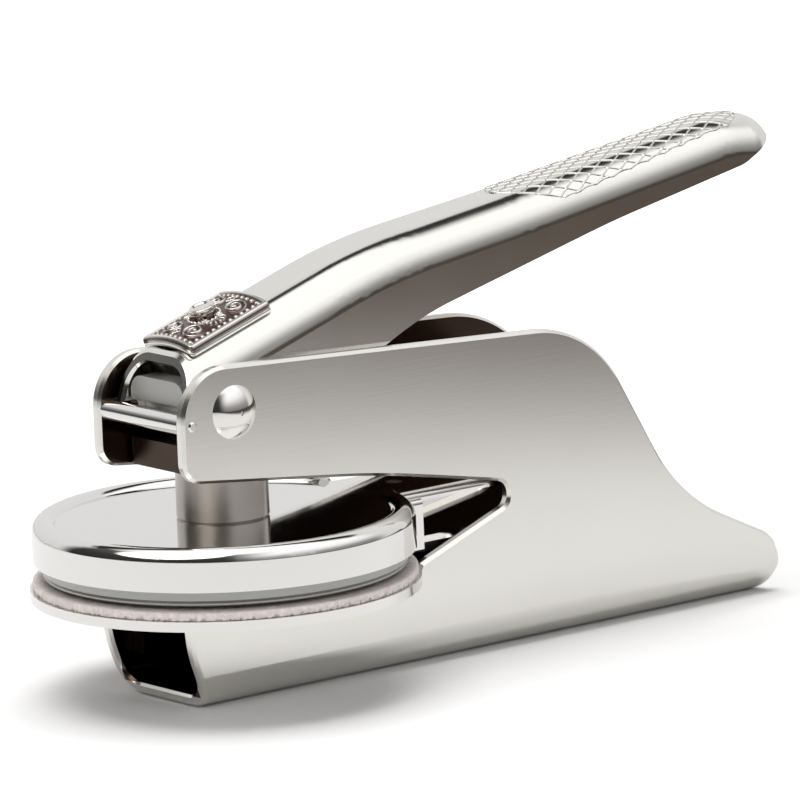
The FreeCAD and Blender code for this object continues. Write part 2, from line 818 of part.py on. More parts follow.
def make_cam_block():
    """Hub round the pivot, lobe over the plunger's head, ear for the cam pin and a blunt nose."""
    body = new_body("cam_block")
    back = dim.cam_throw - dim.pivot_front + dim.cam_round
    front = -(dim.pivot_front + dim.cam_round)
    base = dim.pivot_height - dim.cam_round
    side = new_sketch(body, "cam_side", "XZ_Plane")
    outline(side, [
        (front, base, dim.cam_round),
        (back, base, dim.cam_round),
        (back, dim.cam_shoulder, dim.cam_shoulder_round),
        (back - dim.cam_top_inset, dim.cam_top, dim.cam_top_round),
        (front + dim.cam_round + dim.cam_top_inset, dim.cam_top, dim.cam_top_round),
        (front, dim.cam_shoulder, dim.cam_shoulder_round),
    ])
    pad(body, side, dim.cam_width, both=True)
    hub = new_sketch(body, "cam_hub", "XZ_Plane")
    circle(hub, -dim.pivot_front, dim.pivot_height, dim.cam_round * 2)
    pad(body, hub, lever_inner * 2 - dim.washer_gap * 2, both=True)
    nose = new_sketch(body, "cam_nose", "YZ_Plane", offset=-dim.cam_nose_front)
    nose_half = dim.cam_nose_width / 2
    outline(nose, [
        (-nose_half, dim.cam_nose_low),
        (nose_half, dim.cam_nose_low),
        (nose_half, dim.cam_nose_top, dim.cam_nose_round),
        (-nose_half, dim.cam_nose_top, dim.cam_nose_round),
    ])
    pad(body, nose, dim.cam_nose_length)
    bores = new_sketch(body, "cam_bores", "XZ_Plane")
    circle(bores, -dim.pivot_front, dim.pivot_height, dim.pivot_shank + dim.running_gap * 2)
    circle(bores, cam_pin_across, cam_pin_height, dim.cam_pin_size)
    pocket(body, bores, dim.lever_width, both=True)
    return body


def make_cam_pin():
    body = new_body("cam_pin")
    section = new_sketch(body, "cam_pin_section", "XZ_Plane")
    circle(section, ZERO, ZERO, dim.cam_pin_size)
    pad(body, section, dim.lever_width, both=True)
    dress(body, "Chamfer", round_edge, "Size", dim.pin_edge)
    place(body, across=cam_pin_across, height=cam_pin_height)
    return body


def make_name_plate():
    """Plaque rolled to a low arch over the lever's top."""
    body = new_body("name_plate")
    half = dim.plate_width / 2
    edge_low = dim.plate_lift - dim.plate_crown
    section = new_sketch(body, "plate_section", "YZ_Plane")
    outline(section, [
        (-half, edge_low),
        (ZERO, dim.plate_lift, dim.plate_crown_round),
        (half, edge_low),
        (half, edge_low + dim.plate_thick),
        (ZERO, dim.plate_lift + dim.plate_thick, plate_outer_round),
        (-half, edge_low + dim.plate_thick),
    ])
    pad(body, section, dim.plate_length, both=True)
    dress(body, "Fillet", plate_corner_edge, "Radius", dim.plate_corner)
    hole = new_sketch(body, "plate_hole", "XY_Plane")
    circle(hole, ZERO, ZERO, dim.plate_screw_shank)
    pocket(body, hole, dim.plate_thick + dim.overrun, both=True)
    set_on_lever(body, "Placement")
    return body


def plate_corner_edge(edge):
    box = edge.BoundBox
    return box.XLength < NEAR and box.YLength < NEAR


def make_name_plate_screw():
    body = new_body("name_plate_screw")
    head, shank = dim.plate_screw_head / 2, dim.plate_screw_shank / 2
    end = -(dim.lever_sheet + dim.plate_screw_end)
    seat = plate_top + dim.plate_screw_gap
    top = seat + dim.plate_screw_rise
    section = new_sketch(body, "screw_half", "XZ_Plane")
    outline(section, [
        (ZERO, end),
        (shank, end),
        (shank, seat),
        (head, seat),
        (head, top),
        (ZERO, top),
    ])
    spin(body, section, "V_Axis")
    dress(body, "Chamfer", flat_ring_edge(top, head), "Size", dim.plate_screw_edge)
    set_on_lever(body, "Placement")
    return body


def make_guide_block():
    body = new_body("guide_block")
    half = dim.guide_length / 2
    plan = new_sketch(body, "guide_plan", "XY_Plane", offset=dim.guide_base)
    outline(plan, [
        (-half, -frame_inner, dim.guide_corner),
        (half, -frame_inner, dim.guide_corner),
        (half, frame_inner, dim.guide_corner),
        (-half, frame_inner, dim.guide_corner),
    ])
    circle(plan, ZERO, ZERO, guide_bore * 2)
    pad(body, plan, guide_top - dim.guide_base)
    return body


def turned_ring(name, bore, radius, low, high):
    """Plain turned ring about the die's axis."""
    body = new_body(name)
    half = new_sketch(body, name + "_half", "XZ_Plane")
    rectangle(half, bore, radius, low, high)
    spin(body, half, "V_Axis")
    return body


def make_guide_liner():
    return turned_ring("guide_liner", dim.sleeve_size / 2 + dim.guide_gap, guide_bore,
                       dim.guide_base, liner_top)


def make_spring_cup():
    body = new_body("spring_cup")
    half = new_sketch(body, "spring_cup_half", "XZ_Plane")
    floor = spring_seat - dim.cup_tube_floor
    outline(half, [
        (rod_hole / 2, floor),
        (cup_tube_radius, floor),
        (cup_tube_radius, liner_top),
        (guide_bore, liner_top),
        (guide_bore, guide_top),
        (cup_tube_bore, guide_top),
        (cup_tube_bore, spring_seat),
        (rod_hole / 2, spring_seat),
    ])
    spin(body, half, "V_Axis")
    return body


def make_plunger_sleeve():
    body = new_body("plunger_sleeve")
    radius = dim.sleeve_size / 2
    floor = dim.cup_plate_top + dim.sleeve_floor
    half = new_sketch(body, "sleeve_half", "XZ_Plane")
    outline(half, [
        (dim.rod_size / 2, dim.cup_plate_top),
        (radius, dim.cup_plate_top),
        (radius, sleeve_top),
        (radius - dim.sleeve_wall, sleeve_top),
        (radius - dim.sleeve_wall, floor),
        (dim.rod_size / 2, floor),
    ])
    spin(body, half, "V_Axis")
    dress(body, "Chamfer", flat_ring_edge(dim.cup_plate_top, radius), "Size", dim.sleeve_edge)
    return body


def make_plunger_rod():
    body = new_body("plunger_rod")
    shank, head = dim.rod_size / 2, dim.rod_head / 2
    end = plate_base - dim.nut_thick
    half = new_sketch(body, "rod_half", "XZ_Plane")
    outline(half, [
        (ZERO, end),
        (shank, end),
        (shank, head_base),
        (head, head_base),
        (head, head_top),
        (ZERO, head_top),
    ])
    spin(body, half, "V_Axis")
    dress(body, "Chamfer", flat_ring_edge(head_top, head), "Size", dim.rod_head_edge)
    return body


def make_rod_nut():
    nut = doc.addObject("Part::Prism", "nut_blank")
    nut.Polygon = 6
    bind(nut, "Circumradius", nut_corner)
    bind(nut, "Height", dim.nut_thick)
    bore = doc.addObject("Part::Cylinder", "nut_bore")
    bind(bore, "Radius", dim.rod_size / 2)
    bind(bore, "Height", dim.nut_thick)
    cut = doc.addObject("Part::Cut", "rod_nut")
    cut.Base, cut.Tool = nut, bore
    cut.Label = "rod_nut"
    place(cut, height=plate_base - dim.nut_thick)
    return cut


def make_die_cup():
    """Upper holder: drawn cup with a rolled rim, and a tail whose walls lean in below its top."""
    body = new_body("die_cup")
    radius, tail_half, low_half = dim.cup_size / 2, dim.cup_tail_width / 2, dim.cup_tail_low_width / 2
    under = dim.cup_tail_base - dim.overrun
    lid_base = dim.cup_plate_top - dim.cup_tail_lid
    disc = new_sketch(body, "cup_disc", "XY_Plane", offset=dim.cup_base)
    circle(disc, ZERO, ZERO, dim.cup_size)
    pad(body, disc, dim.cup_plate_top - dim.cup_base)
    lid = new_sketch(body, "cup_lid", "XY_Plane", offset=lid_base)
    racket(lid, radius, tail_half, dim.cup_neck_round, dim.cup_tail_reach, dim.cup_tail_corner)
    pad(body, lid, dim.cup_tail_lid)
    dress(body, "Fillet", cup_top_edge, "Radius", dim.cup_top_round)
    tail = new_sketch(body, "cup_tail", "YZ_Plane", offset=dim.cup_tail_front)
    outline(tail, [
        (-low_half, dim.cup_tail_base),
        (low_half, dim.cup_tail_base),
        (tail_half, lid_base),
        (-tail_half, lid_base),
    ])
    pad(body, tail, dim.cup_tail_reach - dim.cup_tail_front)
    lug = new_sketch(body, "cup_lugs", "YZ_Plane", offset=dim.cup_lug_front)
    lug_half = dim.cup_lug_width / 2
    outline(lug, [
        (-lug_half, dim.cup_tail_base),
        (lug_half, dim.cup_tail_base),
        (lug_half, dim.cup_lug_top, dim.cup_lug_round),
        (-lug_half, dim.cup_lug_top, dim.cup_lug_round),
    ])
    pad(body, lug, dim.cup_lug_length)
    bead = new_sketch(body, "cup_bead", "XZ_Plane")
    circle(bead, dim.bead_inset - radius, dim.bead_height, dim.bead_round * 2)
    roll = spin(body, bead, "V_Axis")
    roll.Midplane = True
    neck = (tail_half + dim.cup_neck_round) / (radius + dim.cup_neck_round)
    bind(roll, "Angle", FULL_TURN - neck.arc_sine() * 2)
    clearing = new_sketch(body, "cup_clearing", "XY_Plane", offset=under)
    circle(clearing, ZERO, ZERO, dim.counter_size + dim.cup_clear_gap * 2)
    pocket(body, clearing, dim.cup_clear_top - under, flip=True)
    cavity = new_sketch(body, "cup_cavity", "XY_Plane", offset=under)
    circle(cavity, ZERO, ZERO, cup_cavity * 2)
    pocket(body, cavity, plate_base - under, flip=True)
    hollow = new_sketch(body, "tail_hollow", "YZ_Plane", offset=dim.cup_tail_front)
    outline(hollow, [
        (dim.cup_tail_wall - low_half, under),
        (low_half - dim.cup_tail_wall, under),
        (low_half - dim.cup_tail_wall, dim.cup_tail_base),
        (tail_half - dim.cup_tail_wall, plate_base),
        (dim.cup_tail_wall - tail_half, plate_base),
        (dim.cup_tail_wall - low_half, dim.cup_tail_base),
    ])
    pocket(body, hollow, dim.cup_tail_reach - dim.cup_tail_wall - dim.cup_tail_front, flip=True)
    hole = new_sketch(body, "cup_holes", "XY_Plane", offset=plate_base)
    circle(hole, ZERO, ZERO, dim.rod_size)
    for reach in clip_rivet_reaches():
        circle(hole, reach, ZERO, dim.clip_rivet)
    pocket(body, hole, dim.cup_plate + dim.overrun, flip=True)
    return body


def cup_top_edge(edge):
    box = edge.BoundBox
    return box.ZMin > dim.cup_plate_top.value - NEAR


def clip_rivet_reaches():
    return [dim.clip_rivet_reach, dim.clip_rivet_reach + dim.clip_rivet_pitch]


def make_upper_die():
    body = new_body("upper_die")
    radius = cup_cavity - dim.die_gap
    base = die_face + dim.die_plate_thick
    room = nut_corner + dim.nut_room
    room_floor = plate_base - dim.nut_thick - dim.nut_room
    half = new_sketch(body, "upper_die_half", "XZ_Plane")
    outline(half, [
        (ZERO, base),
        (radius, base),
        (radius, plate_base),
        (room, plate_base),
        (room, room_floor),
        (ZERO, room_floor),
    ])
    spin(body, half, "V_Axis")
    dress(body, "Chamfer", flat_ring_edge(base, radius), "Size", dim.die_edge)
    return body


def turned_disc(name, radius, low, high, edge):
    """Plain turned disc with both rims broken."""
    body = new_body(name)
    half = new_sketch(body, name + "_half", "XZ_Plane")
    rectangle(half, ZERO, radius, low, high)
    spin(body, half, "V_Axis")
    dress(body, "Chamfer", round_edge, "Size", edge)
    return body


def make_engraved_plate():
    return turned_disc("engraved_plate", dim.die_plate_size / 2, die_face,
                       die_face + dim.die_plate_thick, dim.die_plate_edge)


def make_counter_die():
    return turned_disc("counter_die", dim.counter_size / 2, holder_top, counter_top, dim.counter_edge)


def make_lower_holder():
    body = new_body("lower_holder")
    blank = new_sketch(body, "holder_blank", "XY_Plane", offset=dim.seat_height)
    racket(blank, holder_radius, dim.holder_tail_width / 2, dim.holder_neck_round,
           dim.holder_tail_reach, dim.holder_tail_corner)
    pad(body, blank, dim.holder_thick)
    holes = new_sketch(body, "holder_holes", "XY_Plane", offset=dim.seat_height)
    circle(holes, ZERO, ZERO, dim.stud_neck)
    for reach in clip_rivet_reaches():
        circle(holes, reach, ZERO, dim.clip_rivet)
    pocket(body, holes, dim.holder_thick + dim.overrun, flip=True)
    return body


def make_holder_stud():
    body = new_body("holder_stud")
    end = dim.seat_height - dim.bridge_thick - dim.stud_end
    half = new_sketch(body, "stud_half", "XZ_Plane")
    outline(half, [
        (ZERO, end),
        (dim.stud_size / 2, end),
        (dim.stud_size / 2, dim.seat_height),
        (dim.stud_neck / 2, dim.seat_height),
        (dim.stud_neck / 2, holder_top),
        (ZERO, holder_top),
    ])
    spin(body, half, "V_Axis")
    dress(body, "Chamfer", flat_ring_edge(end, dim.stud_size / 2), "Size", dim.stud_edge)
    return body


def make_seat_bridge():
    """Inverted U between the plates, that backs the lower holder and takes its stud."""
    body = new_body("seat_bridge")
    inner = frame_inner - dim.bridge_thick
    ceiling = dim.seat_height - dim.bridge_thick
    section = new_sketch(body, "bridge_section", "YZ_Plane")
    outline(section, [
        (-frame_inner, dim.bridge_base),
        (-inner, dim.bridge_base),
        (-inner, ceiling, dim.bridge_round - dim.bridge_thick / 2),
        (inner, ceiling, dim.bridge_round - dim.bridge_thick / 2),
        (inner, dim.bridge_base),
        (frame_inner, dim.bridge_base),
        (frame_inner, dim.seat_height, dim.bridge_round),
        (-frame_inner, dim.seat_height, dim.bridge_round),
    ])
    pad(body, section, dim.bridge_length, both=True)
    hole = new_sketch(body, "bridge_hole", "XY_Plane", offset=dim.bridge_base)
    circle(hole, ZERO, ZERO, dim.stud_size)
    pocket(body, hole, dim.seat_height, flip=True)
    return body


def make_clip_spring():
    """Leaf bent to a U that joins the tails of the two holders and lifts the upper one."""
    body = new_body("clip_spring")
    back = dim.cup_tail_reach - dim.cup_tail_wall - dim.clip_back_gap
    bend = (plate_base - holder_top) / 2
    inner_bend = bend - dim.clip_sheet
    side = new_sketch(body, "clip_side", "XZ_Plane")
    outline(side, [
        (dim.clip_front, holder_top),
        (back, holder_top, bend * SNUG_SHARE),
        (back, plate_base, bend * SNUG_SHARE),
        (dim.clip_front, plate_base),
        (dim.clip_front, plate_base - dim.clip_sheet),
        (back - dim.clip_sheet, plate_base - dim.clip_sheet, inner_bend * SNUG_SHARE),
        (back - dim.clip_sheet, holder_top + dim.clip_sheet, inner_bend * SNUG_SHARE),
        (dim.clip_front, holder_top + dim.clip_sheet),
    ])
    pad(body, side, dim.clip_width, both=True)
    holes = new_sketch(body, "clip_holes", "XY_Plane", offset=holder_top)
    for reach in clip_rivet_reaches():
        circle(holes, reach, ZERO, dim.clip_rivet)
    pocket(body, holes, plate_base - holder_top, flip=True)
    return body


def make_clip_rivets(name, face, flush, head_up):
    """Rivets through a holder's tail and the leaf; face is the leaf's free side."""
    body = new_body(name)
    shank, head = dim.clip_rivet / 2, dim.clip_rivet_head / 2
    crown = face + dim.clip_rivet_rise if head_up else face - dim.clip_rivet_rise
    half = new_sketch(body, name + "_half", "XZ_Plane")
    outline(half, [(ZERO, flush), (shank, flush), (shank, face), (head, face), (head, crown),
                   (ZERO, crown)])
    turned = spin(body, half, "V_Axis")
    dress(body, "Chamfer", flat_ring_edge(crown, head), "Size", dim.clip_rivet_rise * SNUG_SHARE)
    doc.recompute()
    row = body.newObject("PartDesign::LinearPattern", name + "_row")
    row.Originals = [turned, body.Tip]
    row.Direction = (origin_feature(body, "X_Axis"), [""])
    row.Mode = "Spacing"
    row.Occurrences = 2
    bind(row, "Offset", dim.clip_rivet_pitch)
    body.Tip = row
    place(body, across=dim.clip_rivet_reach)
    return body


def make_return_spring():
    """Open coil round the rod, between the spring cup's floor and the rod's head."""
    item = doc.addObject("Part::Feature", "return_spring")
    item.Label = "return_spring"
    outer = (cup_tube_bore - dim.spring_gap).value
    inner = outer - dim.spring_wire.value
    height = (head_base - spring_seat).value
    tube = Part.makeCylinder(outer, height)
    item.Shape = tube.cut(Part.makeCylinder(inner, height))
    place(item, height=spring_seat)
    return item


MAKERS = [
    make_frame_shell, make_pivot_rivet, make_pivot_washers, make_stop_pin, make_lever_handle,
    make_cam_block, make_cam_pin, make_name_plate, make_name_plate_screw, make_guide_block,
    make_guide_liner, make_spring_cup, make_plunger_sleeve, make_plunger_rod, make_rod_nut,
    make_die_cup, make_upper_die, make_engraved_plate, make_counter_die, make_lower_holder,
    make_holder_stud, make_seat_bridge, make_clip_spring, make_return_spring,
]


def make_parts():
    parts = [make() for make in MAKERS]
    upper_leaf, lower_leaf = plate_base - dim.clip_sheet, holder_top + dim.clip_sheet
    parts.append(make_clip_rivets("upper_clip_rivets", upper_leaf, dim.cup_plate_top, False))
    parts.append(make_clip_rivets("lower_clip_rivets", lower_leaf, dim.seat_height, True))
    return parts


def check(parts):
    """Stop before anything is written if a feature failed or a piece isn't a valid solid."""
    for item in doc.Objects:
        if "Invalid" in item.State or "Error" in item.State:
            raise RuntimeError("%s: %s" % (item.Label, item.State))
    for part in parts:
        if part.Shape.isNull() or not part.Shape.isValid() or not part.Shape.Solids:
            raise RuntimeError(part.Label + ": no valid solid")


def export(parts):
    os.makedirs("parts", exist_ok=True)
    for part in parts:
        part.Shape.exportStep("parts/%s.step" % part.Label)
        box = part.Shape.BoundBox
        print("%-18s %d solid(s) %8.1f mm3  z %.2f to %.2f" % (
            part.Label, len(part.Shape.Solids), part.Shape.Volume, box.ZMin, box.ZMax))


parts = make_parts()
doc.recompute()
check(parts)
export(parts)
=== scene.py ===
"""Looks of a desk seal embosser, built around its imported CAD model.

The frame's own nodes keep their meshes and get finishes; the pressed grip, the name plate, its boss and
the rough counter are surfaces worked out here. Lengths are in millimetres until they reach a mesh.
"""
import math

import bpy
import numpy as np
from bpy.props import FloatProperty, IntProperty, PointerProperty, StringProperty
from mathutils import Matrix, Vector


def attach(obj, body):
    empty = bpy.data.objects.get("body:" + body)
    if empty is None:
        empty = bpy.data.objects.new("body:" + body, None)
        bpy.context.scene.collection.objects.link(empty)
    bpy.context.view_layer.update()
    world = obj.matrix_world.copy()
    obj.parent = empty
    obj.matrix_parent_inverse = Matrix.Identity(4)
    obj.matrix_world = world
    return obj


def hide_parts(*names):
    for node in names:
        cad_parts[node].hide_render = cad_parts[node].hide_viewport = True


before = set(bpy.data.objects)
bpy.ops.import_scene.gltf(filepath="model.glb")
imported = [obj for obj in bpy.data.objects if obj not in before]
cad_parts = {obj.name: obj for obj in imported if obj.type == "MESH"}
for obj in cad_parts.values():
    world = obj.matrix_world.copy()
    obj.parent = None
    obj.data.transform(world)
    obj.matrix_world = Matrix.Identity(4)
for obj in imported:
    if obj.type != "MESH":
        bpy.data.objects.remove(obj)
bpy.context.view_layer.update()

bl_info = {
    "name": "Seal Embosser Looks",
    "version": (1, 0, 0),
    "blender": (4, 5, 0),
    "location": "3D View > Sidebar > Embosser",
    "description": "Finishes, pressed grip, name plate, counter and studio of a desk seal embosser",
    "category": "Object",
}

MM = 0.001


# Sizes and colours that a user would change

class FinishSettings(bpy.types.PropertyGroup):
    """Colours of the finishes as sRGB hex, and the satin sheet's grain."""
    nickel: StringProperty(
        name="Nickel", description="Faintly warm white of nickel plate", default="E4E2DD")
    chrome: StringProperty(
        name="Chrome", description="Neutral white of bright chrome plate", default="E6E4E2")
    steel: StringProperty(
        name="Steel", description="Grey of turned steel", default="B9B4AF")
    # Painted shade: the brown that stands for the shade inside the folded sheet; the guide block takes it
    # too.
    inside_shade: StringProperty(
        name="Inside shade", description="Brown of the plate inside the folded sheet and of the guide block",
        default="54463E")
    recess: StringProperty(
        name="Recess", description="Brown in the depths of the struck relief", default="6E5B56")
    brass: StringProperty(
        name="Brass", description="Yellow of machined brass", default="C9A869")
    spring: StringProperty(
        name="Spring", description="Dark grey of oiled spring steel", default="77736F")
    blued: StringProperty(
        name="Blued steel", description="Near black of the blued seat bridge", default="3A3430")
    casting: StringProperty(
        name="Casting", description="Dull grey of the cast upper die and cam block", default="AFAFAC")
    counter: StringProperty(
        name="Counter", description="Pale pinkish grey of the pressed counter", default="F2E9E7")
    grain: FloatProperty(
        name="Grain", description="Width of the satin sheet's finishing lines, mm", default=0.18,
        min=0.05, max=1.0, unit="NONE")


class GripSettings(bpy.types.PropertyGroup):
    """Pressed diamond pattern on the lever's top."""
    pitch_along: FloatProperty(
        name="Pitch along", description="Length of one diamond along the lever, mm", default=3.73)
    pitch_across: FloatProperty(
        name="Pitch across", description="Width of one diamond round the lever, mm", default=2.1)
    rib_width: FloatProperty(
        name="Rib width", description="Width of one rib at its foot, mm", default=0.44)
    rib_height: FloatProperty(
        name="Rib height", description="Height of the ribs over the lever, mm", default=0.2)
    front: FloatProperty(
        name="Front", description="Reach of the pattern's front end on the ridge, mm", default=54.3)
    shoulder: FloatProperty(
        name="Shoulder", description="Reach of the pattern's front corners, mm", default=65.1)
    back: FloatProperty(
        name="Back", description="Reach of the pattern's back end, mm", default=104.6)
    wrap: FloatProperty(
        name="Wrap", description="Half width of the pattern round the lever at its front, mm", default=8.0)
    wrap_back: FloatProperty(
        name="Wrap at back", description="Half width of the pattern near its back end, mm", default=4.9)


class PlateSettings(bpy.types.PropertyGroup):
    """Struck ornament of the name plate and its turned boss."""
    relief: FloatProperty(
        name="Relief", description="Height of the scrolls over the plate's sunk field, mm", default=0.42)
    border: FloatProperty(
        name="Border", description="Width of the plate's raised border, mm", default=0.75)
    scroll: FloatProperty(
        name="Scroll", description="Radius of each corner scroll, mm", default=2.0)
    beads: FloatProperty(
        name="Beads", description="Spacing of the row of beads inside the border, mm", default=1.15)
    dish: FloatProperty(
        name="Dish", description="Depth of the hollow in the boss's top, mm", default=0.3)


class CounterSettings(bpy.types.PropertyGroup):
    """Torn rim of the pressed counter."""
    ragged: FloatProperty(
        name="Ragged", description="Depth of the tears round the rim, mm", default=0.22)
    seed: IntProperty(name="Seed", description="Picks another set of tears", default=7)


class StudioSettings(bpy.types.PropertyGroup):
    """Camera and light."""
    azimuth: FloatProperty(
        name="Azimuth", description="Camera's turn round the object, degrees", default=-38.34)
    elevation: FloatProperty(name="Elevation", description="Camera's height, degrees", default=11.11)
    roll: FloatProperty(name="Roll", description="Camera's roll, degrees", default=-2.21)
    lens: FloatProperty(name="Lens", description="Focal length, mm", default=405.0)
    distance: FloatProperty(name="Distance", description="Camera to target, mm", default=1396.9)
    target_along: FloatProperty(name="Target along", description="Target's X, mm", default=35.33)
    target_height: FloatProperty(name="Target height", description="Target's Z, mm", default=39.6)


# Small tools

def linear(colour):
    """sRGB hex to linear RGBA."""
    parts = np.array([int(colour[i:i + 2], 16) for i in (0, 2, 4)]) / 255
    low = parts / 12.92
    high = ((parts + 0.055) / 1.055) ** 2.4
    return (*np.where(parts <= 0.04045, low, high).tolist(), 1.0)


def add_node(tree, kind, settings=None, links=None):
    """Add a node; settings name its properties or inputs, and links name inputs and the sockets they get."""
    node = tree.nodes.new(kind)
    for name, value in (settings or {}).items():
        if isinstance(name, int) or name in node.inputs:
            node.inputs[name].default_value = value
        else:
            setattr(node, name, value)
    for name, socket in (links or {}).items():
        tree.links.new(socket, node.inputs[name])
    return node


def set_ramp(node, stops):
    """Give a colour ramp its stops as (place, level) with grey levels or colours."""
    ramp = node.color_ramp
    while len(ramp.elements) < len(stops):
        ramp.elements.new(0.5)
    for element, (place, level) in zip(ramp.elements, stops):
        element.position = place
        element.color = level if isinstance(level, tuple) else (level, level, level, 1.0)


def blend_colour(first, second, share):
    """Colour on the way from the first to the second, at the given share of that way."""
    return tuple(a + (b - a) * share for a, b in zip(first, second))


def new_material(name):
    """Material with an empty node tree, and that tree."""
    material = bpy.data.materials.new(name)
    material.use_nodes = True
    material.node_tree.nodes.clear()
    return material, material.node_tree


def finish_material(tree, surface):
    """Lead a shader to the material's output."""
    add_node(tree, "ShaderNodeOutputMaterial", links={"Surface": surface})


def dress(node_names, material):
    """Put a finish on CAD nodes, whose meshes stay as they are."""
    for name in node_names:
        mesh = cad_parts[name].data
        mesh.materials.clear()
        mesh.materials.append(material)


def new_piece(name, points, faces, body, slot, material):
    """Make a smooth piece that rides on a body, from points in mm and arrays of faces of one size each."""
    mesh = bpy.data.meshes.new(name)
    mesh.from_pydata((points * MM).tolist(), [], [face for group in faces for face in group.tolist()])
    mesh.validate()
    mesh.polygons.foreach_set("use_smooth", [True] * len(mesh.polygons))
    mesh.materials.append(material)
    piece = bpy.data.objects.new(name, mesh)
    bpy.context.scene.collection.objects.link(piece)
    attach(piece, body)
    return piece


def grid_faces(rows, columns, wrap_columns=False, first=0, turn=False):
    """Quads of a grid whose points are stored row by row."""
    row = np.arange(rows - 1)[:, None]
    column = np.arange(columns if wrap_columns else columns - 1)[None, :]
    after = (column + 1) % columns
    a = row * columns + column
    b = row * columns + after
    c = (row + 1) * columns + after
    d = (row + 1) * columns + column
    quads = np.stack(np.broadcast_arrays(a, b, c, d), axis=-1).reshape(-1, 4) + first
    return quads[:, ::-1] if turn else quads


def closed_slab(top, bottom):
    """Points and faces of a slab between two grids of one shape, closed round its rim."""
    rows, columns = top.shape[:2]
    count = rows * columns
    points = np.concatenate([top.reshape(-1, 3), bottom.reshape(-1, 3)])
    number = np.arange(count).reshape(rows, columns)
    rim = np.concatenate([number[0, :-1], number[:-1, -1], number[-1, :0:-1], number[:0:-1, 0]])
    after = np.roll(rim, -1)
    sides = np.stack([rim, rim + count, after + count, after], axis=-1)
    return points, [grid_faces(rows, columns, turn=True), grid_faces(rows, columns, first=count), sides]


def turned_solid(rings):
    """Points and faces of a solid of closed rings, with a pole in the middle of its first and last ring.

    The rings run from the top's middle, over the rim, to the middle of the underside.
    """
    count, segments = rings.shape[:2]
    points = np.concatenate([rings.reshape(-1, 3), rings[:1].mean(axis=1), rings[-1:].mean(axis=1)])
    number = np.arange(segments)
    after = (number + 1) % segments
    last = (count - 1) * segments
    top = np.stack([number, after, np.full(segments, count * segments)], axis=-1)
    under = np.stack([last + after, last + number, np.full(segments, count * segments + 1)], axis=-1)
    return points, [grid_faces(count, segments, wrap_columns=True, turn=True), top, under]


def smooth_step(value, low, high):
    """Soft step: nought up to low, one from high, and three squares less two cubes of the share between."""
    share = np.clip((value - low) / (high - low), 0, 1)
    return share * share * (3 - 2 * share)


# Finishes

INNER_HALF = 9.54    # just past the inner faces of the frame's side plates, which are at 9.5
INNER_FLOOR = 1.96   # just under the inner face of its web, which is at 2
FINE_DEPTH = 0.05    # depth of finishing lines and grit
BOARD_DEPTH = 0.2    # depth of the pressed board's texture
RING_PITCH = 6500    # tool marks per metre, so one in 0.15 mm
GRAIN_CELLS = 600    # cells per metre of the noise that draws lines 1 mm wide
GRAIN_STRETCH = 60   # cells per metre along those lines
BOARD_SHADE = 0.72   # darkest mottle of the board, of its pale colour


def satin_nickel(settings):
    """Nickel plate over tumbled sheet steel: soft mirror, fine lines, and brown painted shade on the faces
    inside the fold.
    """
    material, tree = new_material("satin_nickel_plate")
    place = add_node(tree, "ShaderNodeTexCoord")
    cells = (GRAIN_STRETCH, GRAIN_STRETCH, GRAIN_CELLS / settings.grain)
    along = add_node(tree, "ShaderNodeMapping", {"Scale": cells}, {"Vector": place.outputs["Object"]})
    lines = add_node(tree, "ShaderNodeTexNoise", {"Scale": 1.0, "Detail": 3.0}, {"Vector": along.outputs[0]})
    cloud = add_node(tree, "ShaderNodeTexNoise", {"Scale": 55.0, "Detail": 4.0},
                     {"Vector": place.outputs["Object"]})
    rough = add_node(tree, "ShaderNodeMapRange", {"To Min": 0.15, "To Max": 0.22},
                     {"Value": cloud.outputs["Fac"]})
    bump = add_node(tree, "ShaderNodeBump", {"Strength": 0.03, "Distance": FINE_DEPTH * MM},
                    {"Height": lines.outputs["Fac"]})
    # Faces inside the fold, between the side plates and above the web, get the brown painted shade instead of
    # nickel.
    spot = add_node(tree, "ShaderNodeSeparateXYZ", links={0: place.outputs["Object"]})
    across = add_node(tree, "ShaderNodeMath", {"operation": "ABSOLUTE"}, {0: spot.outputs["Y"]})
    between = add_node(tree, "ShaderNodeMath", {"operation": "LESS_THAN", 1: INNER_HALF * MM},
                       {0: across.outputs[0]})
    above = add_node(tree, "ShaderNodeMath", {"operation": "GREATER_THAN", 1: INNER_FLOOR * MM},
                     {0: spot.outputs["Z"]})
    inside = add_node(tree, "ShaderNodeMath", {"operation": "MULTIPLY"},
                      {0: between.outputs[0], 1: above.outputs[0]})
    colour = add_node(tree, "ShaderNodeMix",
                      {"data_type": "RGBA", "A": linear(settings.nickel), "B": linear(settings.inside_shade)},
                      {"Factor": inside.outputs[0]})
    metal = add_node(tree, "ShaderNodeBsdfPrincipled", {"Metallic": 1.0},
                     {"Base Color": colour.outputs["Result"], "Roughness": rough.outputs[0],
                      "Normal": bump.outputs[0]})
    finish_material(tree, metal.outputs[0])
    return material


def wheel_polish(name, colour, cloud_scale, low, high):
    """Plate polished on a wheel: a mirror whose roughness drifts between two values, as wipe marks do."""
    material, tree = new_material(name)
    place = add_node(tree, "ShaderNodeTexCoord")
    cloud = add_node(tree, "ShaderNodeTexNoise", {"Scale": cloud_scale, "Detail": 5.0},
                     {"Vector": place.outputs["Object"]})
    rough = add_node(tree, "ShaderNodeMapRange", {"To Min": low, "To Max": high},
                     {"Value": cloud.outputs["Fac"]})
    metal = add_node(tree, "ShaderNodeBsdfPrincipled", {"Base Color": linear(colour), "Metallic": 1.0},
                     {"Roughness": rough.outputs[0]})
    finish_material(tree, metal.outputs[0])
    return material


